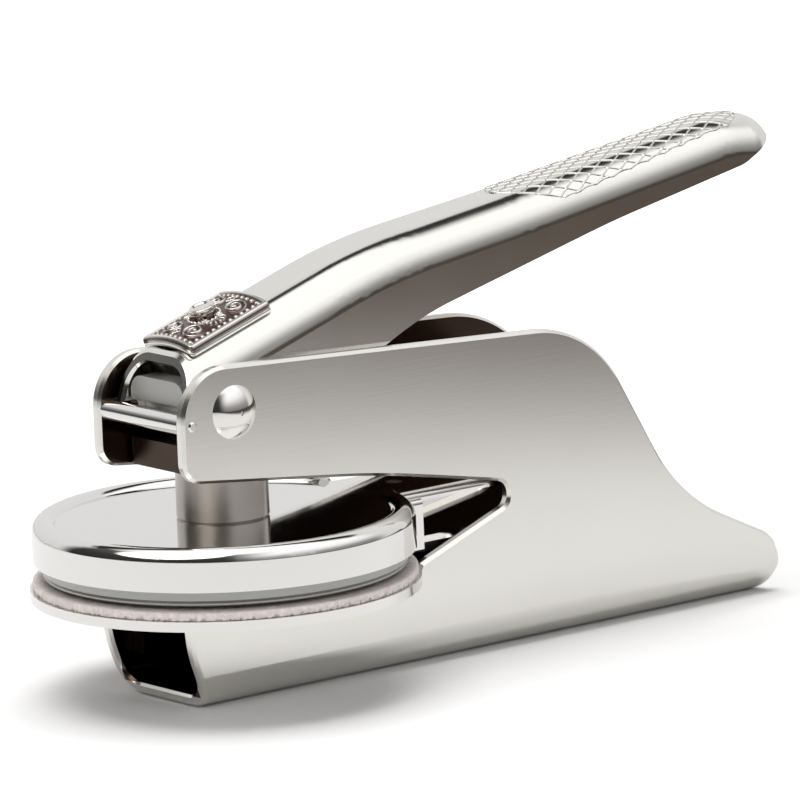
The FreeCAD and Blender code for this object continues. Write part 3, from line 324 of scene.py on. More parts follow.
def struck_nickel(settings):
    """Nickel plate over a struck relief: bright on the raised work, brown where polish never reaches."""
    material, tree = new_material("struck_nickel_plate")
    height = add_node(tree, "ShaderNodeAttribute", {"attribute_name": "relief"})
    raised = add_node(tree, "ShaderNodeMapRange",
                      {"From Min": -FIELD_DEPTH, "From Max": 0.1, "interpolation_type": "SMOOTHSTEP"},
                      {"Value": height.outputs["Fac"]})
    colour = add_node(tree, "ShaderNodeMix",
                      {"data_type": "RGBA", "A": linear(settings.recess), "B": linear(settings.nickel)},
                      {"Factor": raised.outputs[0]})
    metal = add_node(tree, "ShaderNodeBsdfPrincipled", {"Metallic": 1.0, "Roughness": 0.27},
                     {"Base Color": colour.outputs["Result"]})
    finish_material(tree, metal.outputs[0])
    return material


def turned_metal(name, colour, roughness):
    """Metal turned on a lathe: fine rings that spread light along the axis."""
    material, tree = new_material(name)
    place = add_node(tree, "ShaderNodeTexCoord")
    rings = add_node(tree, "ShaderNodeMapping", {"Scale": (40, 40, RING_PITCH)},
                     {"Vector": place.outputs["Object"]})
    lines = add_node(tree, "ShaderNodeTexNoise", {"Scale": 1.0, "Detail": 2.0}, {"Vector": rings.outputs[0]})
    bump = add_node(tree, "ShaderNodeBump", {"Strength": 0.12, "Distance": FINE_DEPTH * MM},
                    {"Height": lines.outputs["Fac"]})
    tangent = add_node(tree, "ShaderNodeTangent", {"direction_type": "RADIAL", "axis": "Z"})
    metal = add_node(tree, "ShaderNodeBsdfPrincipled",
                     {"Base Color": linear(colour), "Metallic": 1.0, "Roughness": roughness,
                      "Anisotropic": 0.8, "Anisotropic Rotation": 0.25},
                     {"Normal": bump.outputs[0], "Tangent": tangent.outputs[0]})
    finish_material(tree, metal.outputs[0])
    return material


def dull_casting(settings):
    """Sand-blasted zinc casting: matt grey with a fine grit."""
    material, tree = new_material("blasted_zinc_casting")
    place = add_node(tree, "ShaderNodeTexCoord")
    grit = add_node(tree, "ShaderNodeTexNoise", {"Scale": 4500.0, "Detail": 3.0},
                    {"Vector": place.outputs["Object"]})
    bump = add_node(tree, "ShaderNodeBump", {"Strength": 0.2, "Distance": FINE_DEPTH * MM},
                    {"Height": grit.outputs["Fac"]})
    metal = add_node(tree, "ShaderNodeBsdfPrincipled",
                     {"Base Color": linear(settings.casting), "Metallic": 0.9, "Roughness": 0.38},
                     {"Normal": bump.outputs[0]})
    finish_material(tree, metal.outputs[0])
    return material


def pressed_counter(settings):
    """Pressed resin board: chalky, mottled and slightly pink."""
    material, tree = new_material("pressed_resin_board")
    place = add_node(tree, "ShaderNodeTexCoord")
    mottle = add_node(tree, "ShaderNodeTexNoise", {"Scale": 900.0, "Detail": 6.0, "Roughness": 0.7},
                      {"Vector": place.outputs["Object"]})
    ramp = add_node(tree, "ShaderNodeValToRGB", links={"Fac": mottle.outputs["Fac"]})
    pale = linear(settings.counter)
    dark = tuple(BOARD_SHADE * level for level in pale[:3]) + (1.0,)
    set_ramp(ramp, [(0.3, dark), (0.62, pale)])
    bump = add_node(tree, "ShaderNodeBump", {"Strength": 0.5, "Distance": BOARD_DEPTH * MM},
                    {"Height": mottle.outputs["Fac"]})
    board = add_node(tree, "ShaderNodeBsdfPrincipled", {"Roughness": 0.75},
                     {"Base Color": ramp.outputs[0], "Normal": bump.outputs[0]})
    finish_material(tree, board.outputs[0])
    return material


# The lever's top, as the CAD model has it

LEVER_HALF = 8.75
LEVER_TIP_HALF = 6.5
LEVER_SHOULDER = 6.0
TAPER_START = 18.0
NOSE_REACH = 110.2
FRONT = (-10.4, 54.1)
CREST = (26.5, 66.0)
DIP = (56.0, 69.8)
END = (98.5, 76.15)
NOSE = (110.2, 75.3)
END_ROUND = 24.0


def lever_crest(along):
    """Height and slope of the lever's top ridge: two straight runs joined by an arc over the tip."""
    rise = math.atan2(END[1] - DIP[1], END[0] - DIP[0])
    fall = math.atan2(NOSE[1] - END[1], NOSE[0] - END[0])
    reach = END_ROUND * math.tan((rise - fall) / 2)
    start = END[0] - reach * math.cos(rise)
    stop = END[0] + reach * math.cos(fall)
    centre_x = start + END_ROUND * math.sin(rise)
    centre_z = DIP[1] + (start - DIP[0]) * math.tan(rise) - END_ROUND * math.cos(rise)
    on_rise = DIP[1] + (along - DIP[0]) * math.tan(rise)
    on_fall = NOSE[1] + (along - NOSE[0]) * math.tan(fall)
    swing = np.clip((along - centre_x) / END_ROUND, -1, 1)
    on_arc = centre_z + END_ROUND * np.sqrt(1 - swing ** 2)
    height = np.where(along < start, on_rise, np.where(along > stop, on_fall, on_arc))
    slope = np.where(along < start, rise, np.where(along > stop, fall, -np.arcsin(swing)))
    return height, slope


def lever_skin(along, girth):
    """Point and outward normal on the lever; girth runs round the section from the middle of its top.

    The section is flat in the middle and turns down in a round shoulder on each side.
    """
    half = LEVER_HALF - (along - TAPER_START) * (LEVER_HALF - LEVER_TIP_HALF) / (NOSE_REACH - TAPER_START)
    flat = half - LEVER_SHOULDER
    turn = np.maximum(np.abs(girth) - flat, 0) / LEVER_SHOULDER
    side = np.sign(girth)
    across = np.where(turn > 0, side * (flat + LEVER_SHOULDER * np.sin(turn)), girth)
    height, slope = lever_crest(along)
    drop = LEVER_SHOULDER * (1 - np.cos(turn)) / np.cos(slope)
    normal = np.stack([-np.sin(slope) * np.cos(turn), side * np.sin(turn), np.cos(slope) * np.cos(turn)],
                      axis=-1)
    return np.stack([along, across, height - drop], axis=-1), normal


GRIP_FRONT_BOW = 1.85   # power of the front's curve
GRIP_BACK_BOW = 0.19
GRIP_SCALLOP = 0.3
GRIP_SUNK = 0.12        # how far the skin between the ribs lies inside the lever
GRIP_STEP = 0.13
GRIP_DEPTH = 0.9
GRIP_EDGE = 0.6         # sunk margin round the pattern


def grip_margin(along, girth, settings):
    """Distance in from the pattern's outline: a bowed front, tapering scalloped sides and a pointed back."""
    spread = np.abs(girth)
    bow = (spread / settings.wrap) ** GRIP_FRONT_BOW
    front = along - settings.front - (settings.shoulder - settings.front) * bow
    run = (along - settings.shoulder) / (settings.back - settings.shoulder)
    cut = GRIP_SCALLOP * np.abs(np.cos(math.pi * (along - settings.front) / settings.pitch_along))
    side = settings.wrap + (settings.wrap_back - settings.wrap) * run - spread - cut
    back = settings.back - GRIP_BACK_BOW * girth ** 2 - along
    return np.minimum(np.minimum(front, side), back)


def rib(distance, width):
    """Rounded rib: a squared cosine of the distance from its middle line."""
    return np.cos(np.clip(distance / width, -0.5, 0.5) * math.pi) ** 2


def grip_height(along, girth, settings):
    """Two crossing families of ribs inside the outline, and a rib round it; below zero between them."""
    steep = math.hypot(1 / settings.pitch_along, 1 / settings.pitch_across)
    margin = grip_margin(along, girth, settings)
    ribs = np.zeros_like(along)
    for lean in (-1, 1):
        phase = (along - settings.front) / settings.pitch_along + lean * girth / settings.pitch_across
        distance = (phase - np.round(phase)) / steep
        ribs = np.maximum(ribs, rib(distance, settings.rib_width))
    ribs = ribs * smooth_step(margin, 0, settings.rib_width / 2)
    outline = rib(margin - settings.rib_width / 2, settings.rib_width)
    return np.maximum(ribs, outline) * (settings.rib_height + GRIP_SUNK) - GRIP_SUNK


def make_grip(settings, material):
    """Ribs that stand out of the lever's own skin, as one closed slab that is sunk in the sheet."""
    along = np.arange(settings.front - GRIP_EDGE, settings.back + GRIP_EDGE, GRIP_STEP)
    girth = np.arange(-settings.wrap - GRIP_EDGE, settings.wrap + GRIP_EDGE, GRIP_STEP)
    along, girth = np.meshgrid(along, girth, indexing="ij")
    skin, normal = lever_skin(along, girth)
    lift = grip_height(along, girth, settings)[..., None]
    points, faces = closed_slab(skin + normal * lift, skin - normal * GRIP_DEPTH)
    return new_piece("pressed_grip", points, faces, "lever", "polished_nickel", material)


# Name plate and its boss, in the slope of the lever's front

PLATE_LENGTH = 16.4
PLATE_WIDTH = 12.6
PLATE_THICK = 1.4
PLATE_CROWN = 1.6
PLATE_ROUND = 18.6
PLATE_LIFT = 0.94
PLATE_CORNER = 0.8
PLATE_MIDDLE = -1.596
BOSS_RADIUS = 2.0
BOSS_RISE = 1.5
SHANK_RADIUS = 0.98
SHANK_END = -2.7
BOSS_GAP = 0.01          # between the plate and the boss
BOSS_SEGMENTS = 72
BOSS_STEPS = 6           # rings in the dish, and in the rim's rounding
BOSS_RIM = 0.22          # rounding of the drum's upper edge
BOSS_LIP = 1.42          # radius at which the flat rim starts
DISH_START = 0.15
DISH_END = 1.3
DISH_FILL = 0.4          # how much shallower the dish gets towards its edge
PLATE_GRID = (206, 158)
FIELD_DEPTH = 0.3
EDGE_RUN = 0.3           # run of the slopes at the plate's edge and border
BORDER_START = 0.05
FIELD_START = (0.1, 0.35)    # where the ornament fades in past the row of beads
FIELD_RUN = 0.25         # run of the slope from the border to the field
BORDER_LIFT = 0.12
BEAD_INSET = 0.62
BEAD_RADIUS = 0.4
BEAD_FLATTENING = 0.8
SCROLL_PITCH = 0.42      # of the scroll's radius
SCROLL_RIB = 0.55
SCROLL_FADE = 0.7        # run in which the arm's end fades, of the rib's width
SCROLL_GAP = (0.6, 0.5)  # from the row of beads to the scrolls, along and across
LOZENGE_INSET = 1.3
LOZENGE_HALF = (1.1, 0.8)
LOZENGE_RIM = (0.85, 0.5)
LOZENGE_CORE = 0.7
ROPE_GAP = 0.55
ROPE_WIDTH = 0.75
ROPE_SWING = 0.28
ROPE_STRANDS = 22
ROPE_LEAN = 5
FAN_FOOT = BOSS_RADIUS + 0.2
FAN_PETALS = 2.2         # per radian
FAN_SPREAD = 0.9
FAN_RIB = 0.75
FAN_START = (0.7, 1.1)
FAN_END = 2.1
FAN_HALF = 1.7


def on_slope(along, across, height):
    """Points over the lever's front slope: along it, across it and square to it, from the plate's middle."""
    slope = math.atan2(CREST[1] - FRONT[1], CREST[0] - FRONT[0])
    foot = FRONT[1] + (PLATE_MIDDLE - FRONT[0]) * math.tan(slope)
    along, across, height = np.broadcast_arrays(along, across, height)
    return np.stack([PLATE_MIDDLE + along * math.cos(slope) - height * math.sin(slope), across,
                     foot + along * math.sin(slope) + height * math.cos(slope)], axis=-1)


def arch(across, curve):
    """Height of the plate's low arch: a circle in the middle that runs out in two straight wings."""
    lean = math.atan2(PLATE_CROWN, PLATE_WIDTH / 2)
    spread = np.abs(across)
    crown = curve - curve / math.cos(lean)
    round_part = crown - curve + np.sqrt(curve ** 2 - np.minimum(spread, curve * math.sin(lean)) ** 2)
    return np.where(spread < curve * math.sin(lean), round_part, -spread * math.tan(lean))


def rounded_plan(rows, columns):
    """Grid over a rectangle whose four corners are drawn in to quarter circles."""
    along, across = np.meshgrid(np.linspace(-1, 1, rows) * PLATE_LENGTH / 2,
                                np.linspace(-1, 1, columns) * PLATE_WIDTH / 2, indexing="ij")
    over_along = np.maximum(np.abs(along) - PLATE_LENGTH / 2 + PLATE_CORNER, 0) / PLATE_CORNER
    over_across = np.maximum(np.abs(across) - PLATE_WIDTH / 2 + PLATE_CORNER, 0) / PLATE_CORNER
    pull = PLATE_CORNER * (1 - np.sqrt(1 - over_across ** 2 / 2)) * over_along
    draw = PLATE_CORNER * (1 - np.sqrt(1 - over_along ** 2 / 2)) * over_across
    return along - np.sign(along) * pull, across - np.sign(across) * draw


def plan_margin(along, across):
    """Distance in from the plate's outline, a rectangle with round corners."""
    past_along = np.abs(along) - PLATE_LENGTH / 2 + PLATE_CORNER
    past_across = np.abs(across) - PLATE_WIDTH / 2 + PLATE_CORNER
    outside = np.hypot(np.maximum(past_along, 0), np.maximum(past_across, 0))
    return PLATE_CORNER - outside - np.minimum(np.maximum(past_along, past_across), 0)


def scroll(along, across, centre, radius, width):
    """Spiral rib: its arm moves out by the pitch in each turn, and ends at the radius."""
    reach = np.hypot(along - centre[0], across - centre[1])
    turn = np.arctan2(across - centre[1], along - centre[0]) / (2 * math.pi)
    pitch = radius * SCROLL_PITCH
    arm = reach / pitch - turn
    distance = (arm - np.round(arm)) * pitch
    return rib(distance, width) * smooth_step(radius - reach, 0, width * SCROLL_FADE)


def bead_row(along, across, inset, spacing):
    """Round beads at equal distances where the inset from their line is nought."""
    on_side = PLATE_WIDTH / 2 - np.abs(across) < PLATE_LENGTH / 2 - np.abs(along)
    run = np.where(on_side, along, across) / spacing
    distance = np.hypot((run - np.round(run)) * spacing, inset)
    return np.sqrt(np.maximum(BEAD_RADIUS ** 2 - distance ** 2, 0)) * BEAD_FLATTENING


def lozenge(along, across, centre):
    """Filled lozenge with a rib round it; its reach counts in its own half sizes."""
    reach = np.abs(along - centre) / LOZENGE_HALF[0] + across / LOZENGE_HALF[1]
    return np.maximum(rib(reach - LOZENGE_RIM[0], LOZENGE_RIM[1]), rib(reach, LOZENGE_CORE))


def roped_ring(along, across):
    """Rib round the boss whose height swings like a rope's strands."""
    radius, angle = np.hypot(along, across), np.arctan2(across, along)
    strands = 1 - ROPE_SWING + ROPE_SWING * np.cos(angle * ROPE_STRANDS + radius * ROPE_LEAN)
    return rib(radius - BOSS_RADIUS - ROPE_GAP, ROPE_WIDTH) * strands


def fan(along, across):
    """Petals that spread from a foot beside the boss."""
    turn = np.arctan2(along, across - FAN_FOOT) * FAN_PETALS
    reach = np.hypot(along, across - FAN_FOOT)
    petals = rib((turn - np.round(turn)) * FAN_SPREAD, FAN_RIB)
    ends = smooth_step(reach, *FAN_START) * smooth_step(FAN_END - reach, 0, EDGE_RUN)
    return petals * ends * (along < FAN_HALF)


def plate_relief(along, across, settings):
    """Relief of the struck plate: border, row of beads, corner scrolls, lozenges, fans and a roped ring.

    All but the beads and the ring repeat in the four quarters, so they take the distances from the middle.
    """
    margin = plan_margin(along, across)
    past_border = settings.border + FIELD_RUN - margin
    border = smooth_step(margin, BORDER_START, EDGE_RUN) * smooth_step(past_border, 0, EDGE_RUN)
    bead_line = settings.border + BEAD_INSET
    beads = bead_row(along, across, margin - bead_line, settings.beads)
    quarter = np.abs(along), np.abs(across)
    half = PLATE_LENGTH / 2 - bead_line, PLATE_WIDTH / 2 - bead_line
    corner = tuple(size - gap - settings.scroll for size, gap in zip(half, SCROLL_GAP))
    ornament = np.maximum.reduce([
        scroll(*quarter, corner, settings.scroll, SCROLL_RIB), lozenge(*quarter, half[0] - LOZENGE_INSET),
        roped_ring(along, across), fan(*quarter)])
    inside = smooth_step(margin - bead_line, *FIELD_START)
    field = -FIELD_DEPTH * smooth_step(margin, settings.border, settings.border + FIELD_RUN)
    edge_round = EDGE_RUN * (smooth_step(margin, 0, EDGE_RUN) - 1)
    return edge_round + field + BORDER_LIFT * border + np.maximum(ornament * settings.relief * inside, beads)


def make_plate(settings, material):
    """Struck plaque: the arch of the CAD plate under a relief, closed below by its plain underside."""
    along, across = rounded_plan(*PLATE_GRID)
    relief = plate_relief(along, across, settings)
    top = PLATE_LIFT + PLATE_THICK + arch(across, PLATE_ROUND + PLATE_THICK) + relief
    under = PLATE_LIFT + arch(across, PLATE_ROUND)
    points, faces = closed_slab(on_slope(along, across, top), on_slope(along, across, under))
    piece = new_piece("relief_plate", points, faces, "lever", "polished_nickel", material)
    store = piece.data.attributes.new("relief", "FLOAT", "POINT")
    store.data.foreach_set("value", np.concatenate([relief.ravel(), np.ones(relief.size)]))
    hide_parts("name_plate")


def make_boss(settings, material):
    """Turned boss: a drum with a raised rim round a dished top, on its shank."""
    seat = PLATE_LIFT + PLATE_THICK + float(arch(np.array(0.0), PLATE_ROUND + PLATE_THICK)) + BOSS_GAP
    top = seat + BOSS_RISE
    dish = np.linspace(DISH_START, DISH_END, BOSS_STEPS)
    corner = np.linspace(0, math.pi / 2, BOSS_STEPS)
    radius = np.concatenate([dish, [BOSS_LIP], BOSS_RADIUS - BOSS_RIM + BOSS_RIM * np.sin(corner),
                             [BOSS_RADIUS, SHANK_RADIUS, SHANK_RADIUS]])
    hollow = settings.dish * (1 - (dish / DISH_END) ** 2 * DISH_FILL)
    height = np.concatenate([top - hollow, [top], top - BOSS_RIM + BOSS_RIM * np.cos(corner),
                             [seat, seat, SHANK_END]])
    turn = np.linspace(0, 2 * math.pi, BOSS_SEGMENTS, endpoint=False)
    rings = on_slope(radius[:, None] * np.cos(turn), radius[:, None] * np.sin(turn), height[:, None])
    piece = new_piece("turned_boss", *turned_solid(rings), "lever", "polished_nickel", material)
    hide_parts("name_plate_screw")


# Counter

COUNTER_RADIUS = 29.65
COUNTER_BASE = 16.94
COUNTER_TOP = 18.27
COUNTER_SEGMENTS = 1200
RIM_LEVELS = (0.06, 0.2, 0.36, 0.52, 0.68, 0.84, 0.96)     # of the thickness, from the top
FLAT_RADII = (2.0, 12.0, 20.0, 25.0, 27.5, 28.6, 29.2)
RIM_SHARE = (0.45, 0.55)    # of the tears' depth: at the top, and what is added towards the foot
RIM_WAVINESS = 0.03
RIM_INSET = 0.1
CHIP_HEIGHT = 0.6
CHIP_SHARE = 0.05           # raises the chips' line, so that more of the foot is chipped
CHIP_INSET = 0.5            # how far a chip reaches in, of its height
TEARS = (40, 420, 60)       # lowest and highest pitch round the rim, and count of waves
ROLLS = (60, 300, 40)
CHIPS = (30, 260, 50)
ROLLS_SEED = 20             # past the seed of the first tears
CHIPS_SEED = 30
WAVE_STRENGTHS = (0.4, 1.0)


def waves(turn, first, last, count, seed):
    """Rough line round a ring: a sum of cosines whose pitch, phase and strength are drawn from a seed."""
    draw = np.random.default_rng(seed)
    pitch = draw.integers(first, last, count)
    phase = draw.uniform(0, 2 * math.pi, count)
    strength = draw.uniform(*WAVE_STRENGTHS, count)
    line = (np.cos(turn[:, None] * pitch + phase) * strength).sum(axis=1)
    return line / np.abs(line).max()


def make_counter(settings, material):
    """Pressed disc with a torn rim: each level has its own rough radius, and the foot is chipped."""
    turn = np.linspace(0, 2 * math.pi, COUNTER_SEGMENTS, endpoint=False)
    level = np.array(RIM_LEVELS)
    thick = COUNTER_TOP - COUNTER_BASE
    wall_radius = np.stack([
        COUNTER_RADIUS - RIM_INSET + settings.ragged * waves(turn, *TEARS, settings.seed + row)
        * (RIM_SHARE[0] + RIM_SHARE[1] * level[row]) for row in range(len(level))])
    waviness = RIM_WAVINESS * waves(turn, *ROLLS, settings.seed + ROLLS_SEED)
    wall_height = COUNTER_TOP - level[:, None] * thick + waviness
    chips = np.maximum(waves(turn, *CHIPS, settings.seed + CHIPS_SEED) + CHIP_SHARE, 0) * CHIP_HEIGHT
    wall_height[-2:] += chips
    wall_radius[-1] -= CHIP_INSET * chips
    flat = np.array(FLAT_RADII)
    ones = np.ones_like(turn)
    radius = np.concatenate([flat[:, None] * ones, wall_radius, flat[::-1, None] * ones])
    height = np.concatenate([COUNTER_TOP * ones * np.ones((len(flat), 1)), wall_height,
                             COUNTER_BASE * ones * np.ones((len(flat), 1))])
    rings = np.stack([radius * np.cos(turn), radius * np.sin(turn), height], axis=-1)
    piece = new_piece("torn_counter", *turned_solid(rings), "frame", "counter_plastic", material)
    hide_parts("counter_die")


# Stage, in metres

SENSOR = 36.0        # the sensor's width, mm
CLIP = (0.1, 20.0)
PAPER = "EAEAEA"     # as metal sees it
PAPER_SEEN = "F8F8F8"
TABLE = "5E554F"
PAPER_END = (0.16, 0.4)
GLOW = (0.12, 0.5)   # distances between which the paper runs out into the white backdrop
TABLE_HALF = 3.0
TABLE_FORWARD = (0.72, -0.69, 0)     # way in which the paper ends
TABLE_FALL = ((0.02, 1.0), (0.13, 0.87), (0.25, 0.63), (0.42, 0.32), (0.7, 0.06), (0.9, 0.0))
RIGHT_WAY = (0.78, -0.62, 0)
BEHIND_WAY = (0.62, 0.78, 0)
SOFT_BOX_WAY = (-0.6, -0.1, 0.79)
ROOM_LEVELS = {    # grey over the height of the direction, straight down to straight up
    "front": [(0.0, 0.03), (0.5, 0.05), (0.78, 0.1), (0.88, 1.2), (0.95, 1.35)],
    "right": [(0.0, 0.22), (0.2, 0.4), (0.36, 0.72), (0.5, 1.05), (0.7, 1.3), (0.9, 1.35)],
    "back": [(0.0, 0.8), (0.5, 0.88), (0.71, 0.86), (0.745, 0.02), (0.85, 0.02), (0.9, 1.35)],
}


def make_camera(settings):
    """Camera that looks at the target, turned round it, raised, rolled and at a distance."""
    turn, rise, roll = (math.radians(v) for v in (settings.azimuth, settings.elevation, settings.roll))
    right = Vector((math.cos(turn), math.sin(turn), 0))
    back = Vector((math.sin(turn) * math.cos(rise), -math.cos(turn) * math.cos(rise), math.sin(rise)))
    up = back.cross(right)
    level = right * math.cos(roll) + up * math.sin(roll)
    upright = up * math.cos(roll) - right * math.sin(roll)
    camera = bpy.data.objects.new("camera", bpy.data.cameras.new("camera"))
    bpy.context.scene.collection.objects.link(camera)
    camera.data.sensor_width = SENSOR
    camera.data.lens = settings.lens
    camera.data.clip_start, camera.data.clip_end = CLIP
    target = Vector((settings.target_along, 0, settings.target_height)) * MM
    turned = Matrix((level, upright, back)).transposed().to_4x4()
    camera.matrix_world = Matrix.Translation(target + back * settings.distance * MM) @ turned
    bpy.context.scene.camera = camera


def make_lamp(name, place, aim, size, power):
    """Soft lamp that no metal mirrors."""
    lamp = bpy.data.lights.new(name, "AREA")
    lamp.shape, lamp.size, lamp.size_y = "RECTANGLE", size[0], size[1]
    lamp.energy = power
    item = bpy.data.objects.new(name, lamp)
    bpy.context.scene.collection.objects.link(item)
    item.location = place
    item.rotation_mode = "QUATERNION"
    item.rotation_quaternion = (Vector(aim) - Vector(place)).to_track_quat("-Z", "Y")
    item.visible_glossy = False


def make_floor():
    """White paper on a dark table: metal that looks past the sheet's front edge sees the table."""
    material, tree = new_material("white_table")
    place = add_node(tree, "ShaderNodeTexCoord")
    forward = add_node(tree, "ShaderNodeVectorMath", {"operation": "DOT_PRODUCT", 1: TABLE_FORWARD},
                       {0: place.outputs["Object"]})
    reach = add_node(tree, "ShaderNodeMapRange", {"From Min": PAPER_END[0], "From Max": PAPER_END[1]},
                     {"Value": forward.outputs["Value"]})
    fall = add_node(tree, "ShaderNodeValToRGB", links={"Fac": reach.outputs[0]})
    set_ramp(fall, [(spot, blend_colour(linear(TABLE), linear(PAPER), level)) for spot, level in TABLE_FALL])
    path = add_node(tree, "ShaderNodeLightPath")
    seen = add_node(tree, "ShaderNodeMix", {"data_type": "RGBA", "A": linear(PAPER_SEEN)},
                    {"Factor": path.outputs["Is Glossy Ray"], "B": fall.outputs[0]})
    matt = add_node(tree, "ShaderNodeBsdfDiffuse", links={"Color": seen.outputs["Result"]})
    around = add_node(tree, "ShaderNodeVectorMath", {"operation": "LENGTH"}, {0: place.outputs["Object"]})
    backdrop = add_node(tree, "ShaderNodeMapRange",
                        {"From Min": GLOW[0], "From Max": GLOW[1], "interpolation_type": "SMOOTHSTEP"},
                        {"Value": around.outputs["Value"]})
    glow = add_node(tree, "ShaderNodeMath", {"operation": "MULTIPLY"},
                    {0: backdrop.outputs[0], 1: path.outputs["Is Camera Ray"]})
    light = add_node(tree, "ShaderNodeEmission", {"Color": (0.5, 0.5, 0.5, 1)}, {"Strength": glow.outputs[0]})
    both = add_node(tree, "ShaderNodeAddShader", {}, {0: matt.outputs[0], 1: light.outputs[0]})
    finish_material(tree, both.outputs[0])
    corners = np.array([[-1, -1, 0], [1, -1, 0], [1, 1, 0], [-1, 1, 0]]) * TABLE_HALF
    mesh = bpy.data.meshes.new("table")
    mesh.from_pydata(corners.tolist(), [], [(0, 1, 2, 3)])
    mesh.materials.append(material)
    table = bpy.data.objects.new("table", mesh)
    bpy.context.scene.collection.objects.link(table)


def bank(tree, place, axis, low, high):
    """Soft switch round a direction: nought below the first cosine to it and one above the second."""
    facing = add_node(tree, "ShaderNodeVectorMath", {"operation": "DOT_PRODUCT", 1: axis},
                      {0: place.outputs["Generated"]})
    return add_node(tree, "ShaderNodeMapRange",
                    {"From Min": low, "From Max": high, "interpolation_type": "SMOOTHSTEP"},
                    {"Value": facing.outputs["Value"]})


def make_world():
    """White backdrop for the eye; for metal, a studio with a wall, a gap, a soft box and a dark front."""
    world = bpy.data.worlds.new("studio")
    bpy.context.scene.world = world
    world.use_nodes = True
    tree = world.node_tree
    tree.nodes.clear()
    place = add_node(tree, "ShaderNodeTexCoord")
    parts = add_node(tree, "ShaderNodeSeparateXYZ", links={0: place.outputs["Generated"]})
    ramps = {}
    for name, stops in ROOM_LEVELS.items():
        ramps[name] = add_node(tree, "ShaderNodeValToRGB", links={"Fac": parts.outputs["Z"]})
        set_ramp(ramps[name], stops)
    right = bank(tree, place, RIGHT_WAY, 0.0, 0.5)
    behind = bank(tree, place, BEHIND_WAY, 0.2, 0.45)
    near = add_node(tree, "ShaderNodeMix", {"data_type": "RGBA"},
                    {"Factor": right.outputs[0], "A": ramps["front"].outputs[0],
                     "B": ramps["right"].outputs[0]})
    room = add_node(tree, "ShaderNodeMix", {"data_type": "RGBA"},
                    {"Factor": behind.outputs[0], "A": near.outputs["Result"], "B": ramps["back"].outputs[0]})
    box = bank(tree, place, SOFT_BOX_WAY, 0.86, 0.92)
    lit = add_node(tree, "ShaderNodeMix", {"data_type": "RGBA", "B": (3.0, 2.9, 2.75, 1)},
                   {"Factor": box.outputs[0], "A": room.outputs["Result"]})
    path = add_node(tree, "ShaderNodeLightPath")
    soft = add_node(tree, "ShaderNodeMix", {"data_type": "RGBA", "B": (0.2, 0.2, 0.2, 1)},
                    {"Factor": path.outputs["Is Diffuse Ray"], "A": lit.outputs["Result"]})
    shown = add_node(tree, "ShaderNodeMix", {"data_type": "RGBA", "B": (1, 1, 1, 1)},
                     {"Factor": path.outputs["Is Camera Ray"], "A": soft.outputs["Result"]})
    sky = add_node(tree, "ShaderNodeBackground", {"Strength": 1.0}, {"Color": shown.outputs["Result"]})
    add_node(tree, "ShaderNodeOutputWorld", links={"Surface": sky.outputs[0]})


# Operators

class MakeStage(bpy.types.Operator):
    """Camera, table, lamps and the studio's reflections"""
    bl_idname = "embosser.make_stage"
    bl_label = "Make stage"

    def execute(self, context):
        context.scene.view_settings.view_transform = "Standard"
        make_camera(context.scene.embosser_studio)
        make_world()
        make_floor()
        make_lamp("overhead", place=(0.05, 0.15, 0.9), aim=(0.04, 0, 0), size=(0.9, 0.7), power=8.8)
        make_lamp("front_fill", place=(-0.3, -0.9, 0.5), aim=(0.04, 0, 0.03), size=(0.6, 0.5), power=1.5)
        return {"FINISHED"}


class DressMetal(bpy.types.Operator):
    """Finishes of the frame's own nodes"""
    bl_idname = "embosser.dress_metal"
    bl_label = "Dress the metal"

    def execute(self, context):
        settings = context.scene.embosser_finish
        dress(["frame_shell", "pivot_washers"], satin_nickel(settings))
        # The guide block gets the brown of the painted shade inside the fold, with a turned finish.
        dress(["guide_block"], turned_metal("painted_shade_nickel", settings.inside_shade, 0.35))
        dress(["seat_bridge"], turned_metal("blued_steel", settings.blued, 0.45))
        dress(["lever_handle", "name_plate", "name_plate_screw"],
              wheel_polish("polished_nickel_plate", settings.nickel, cloud_scale=90.0, low=0.09, high=0.15))
        dress(["die_cup", "pivot_rivet", "lower_holder", "stop_pin"],
              wheel_polish("mirror_chrome_plate", settings.chrome, cloud_scale=70.0, low=0.04, high=0.09))
        dress(["plunger_sleeve", "plunger_rod", "rod_nut", "holder_stud", "cam_pin", "spring_cup",
               "upper_clip_rivets", "lower_clip_rivets"], turned_metal("turned_steel", settings.steel, 0.32))
        dress(["clip_spring", "return_spring"], turned_metal("spring_steel", settings.spring, 0.35))
        dress(["guide_liner"], turned_metal("machined_brass", settings.brass, 0.3))
        dress(["upper_die", "engraved_plate", "cam_block"], dull_casting(settings))
        dress(["counter_die"], pressed_counter(settings))
        return {"FINISHED"}


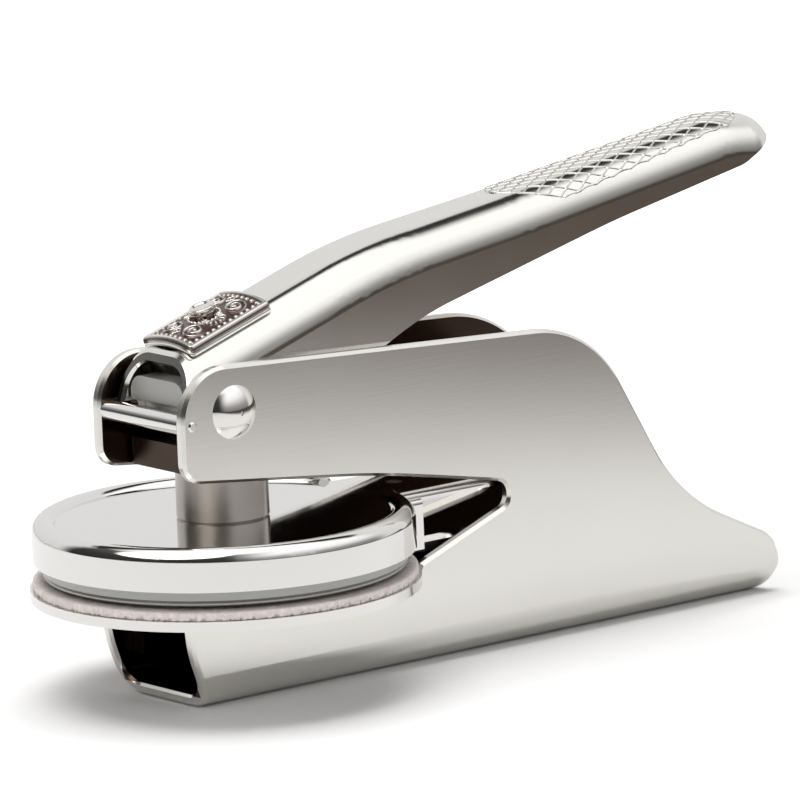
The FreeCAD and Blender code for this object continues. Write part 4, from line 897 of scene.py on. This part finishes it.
class MakeGrip(bpy.types.Operator):
    """Pressed diamond grip on the lever's top"""
    bl_idname = "embosser.make_grip"
    bl_label = "Make grip"

    def execute(self, context):
        make_grip(context.scene.embosser_grip, bpy.data.materials["polished_nickel_plate"])
        return {"FINISHED"}


class MakePlate(bpy.types.Operator):
    """Struck name plate and its turned boss"""
    bl_idname = "embosser.make_plate"
    bl_label = "Make name plate"

    def execute(self, context):
        make_plate(context.scene.embosser_plate, struck_nickel(context.scene.embosser_finish))
        make_boss(context.scene.embosser_plate, bpy.data.materials["polished_nickel_plate"])
        return {"FINISHED"}


class MakeCounter(bpy.types.Operator):
    """Pressed counter with its torn rim"""
    bl_idname = "embosser.make_counter"
    bl_label = "Make counter"

    def execute(self, context):
        make_counter(context.scene.embosser_counter, bpy.data.materials["pressed_resin_board"])
        return {"FINISHED"}


class EmbosserPanel(bpy.types.Panel):
    """Lists the steps that dress the embosser"""
    bl_idname = "VIEW3D_PT_embosser"
    bl_label = "Seal embosser"
    bl_space_type = "VIEW_3D"
    bl_region_type = "UI"
    bl_category = "Embosser"

    def draw(self, context):
        for step in STEPS:
            self.layout.operator(step.bl_idname)


STEPS = (MakeStage, DressMetal, MakeGrip, MakePlate, MakeCounter)
GROUPS = {
    "embosser_finish": FinishSettings, "embosser_grip": GripSettings, "embosser_plate": PlateSettings,
    "embosser_counter": CounterSettings, "embosser_studio": StudioSettings,
}


def register():
    for kind in (*GROUPS.values(), *STEPS, EmbosserPanel):
        bpy.utils.register_class(kind)
    for name, group in GROUPS.items():
        setattr(bpy.types.Scene, name, PointerProperty(type=group))


def unregister():
    for name in GROUPS:
        delattr(bpy.types.Scene, name)
    for kind in reversed((*GROUPS.values(), *STEPS, EmbosserPanel)):
        bpy.utils.unregister_class(kind)


def main():
    register()
    bpy.ops.embosser.make_stage()
    bpy.ops.embosser.dress_metal()
    bpy.ops.embosser.make_grip()
    bpy.ops.embosser.make_plate()
    bpy.ops.embosser.make_counter()


if __name__ == "__main__":
    main()
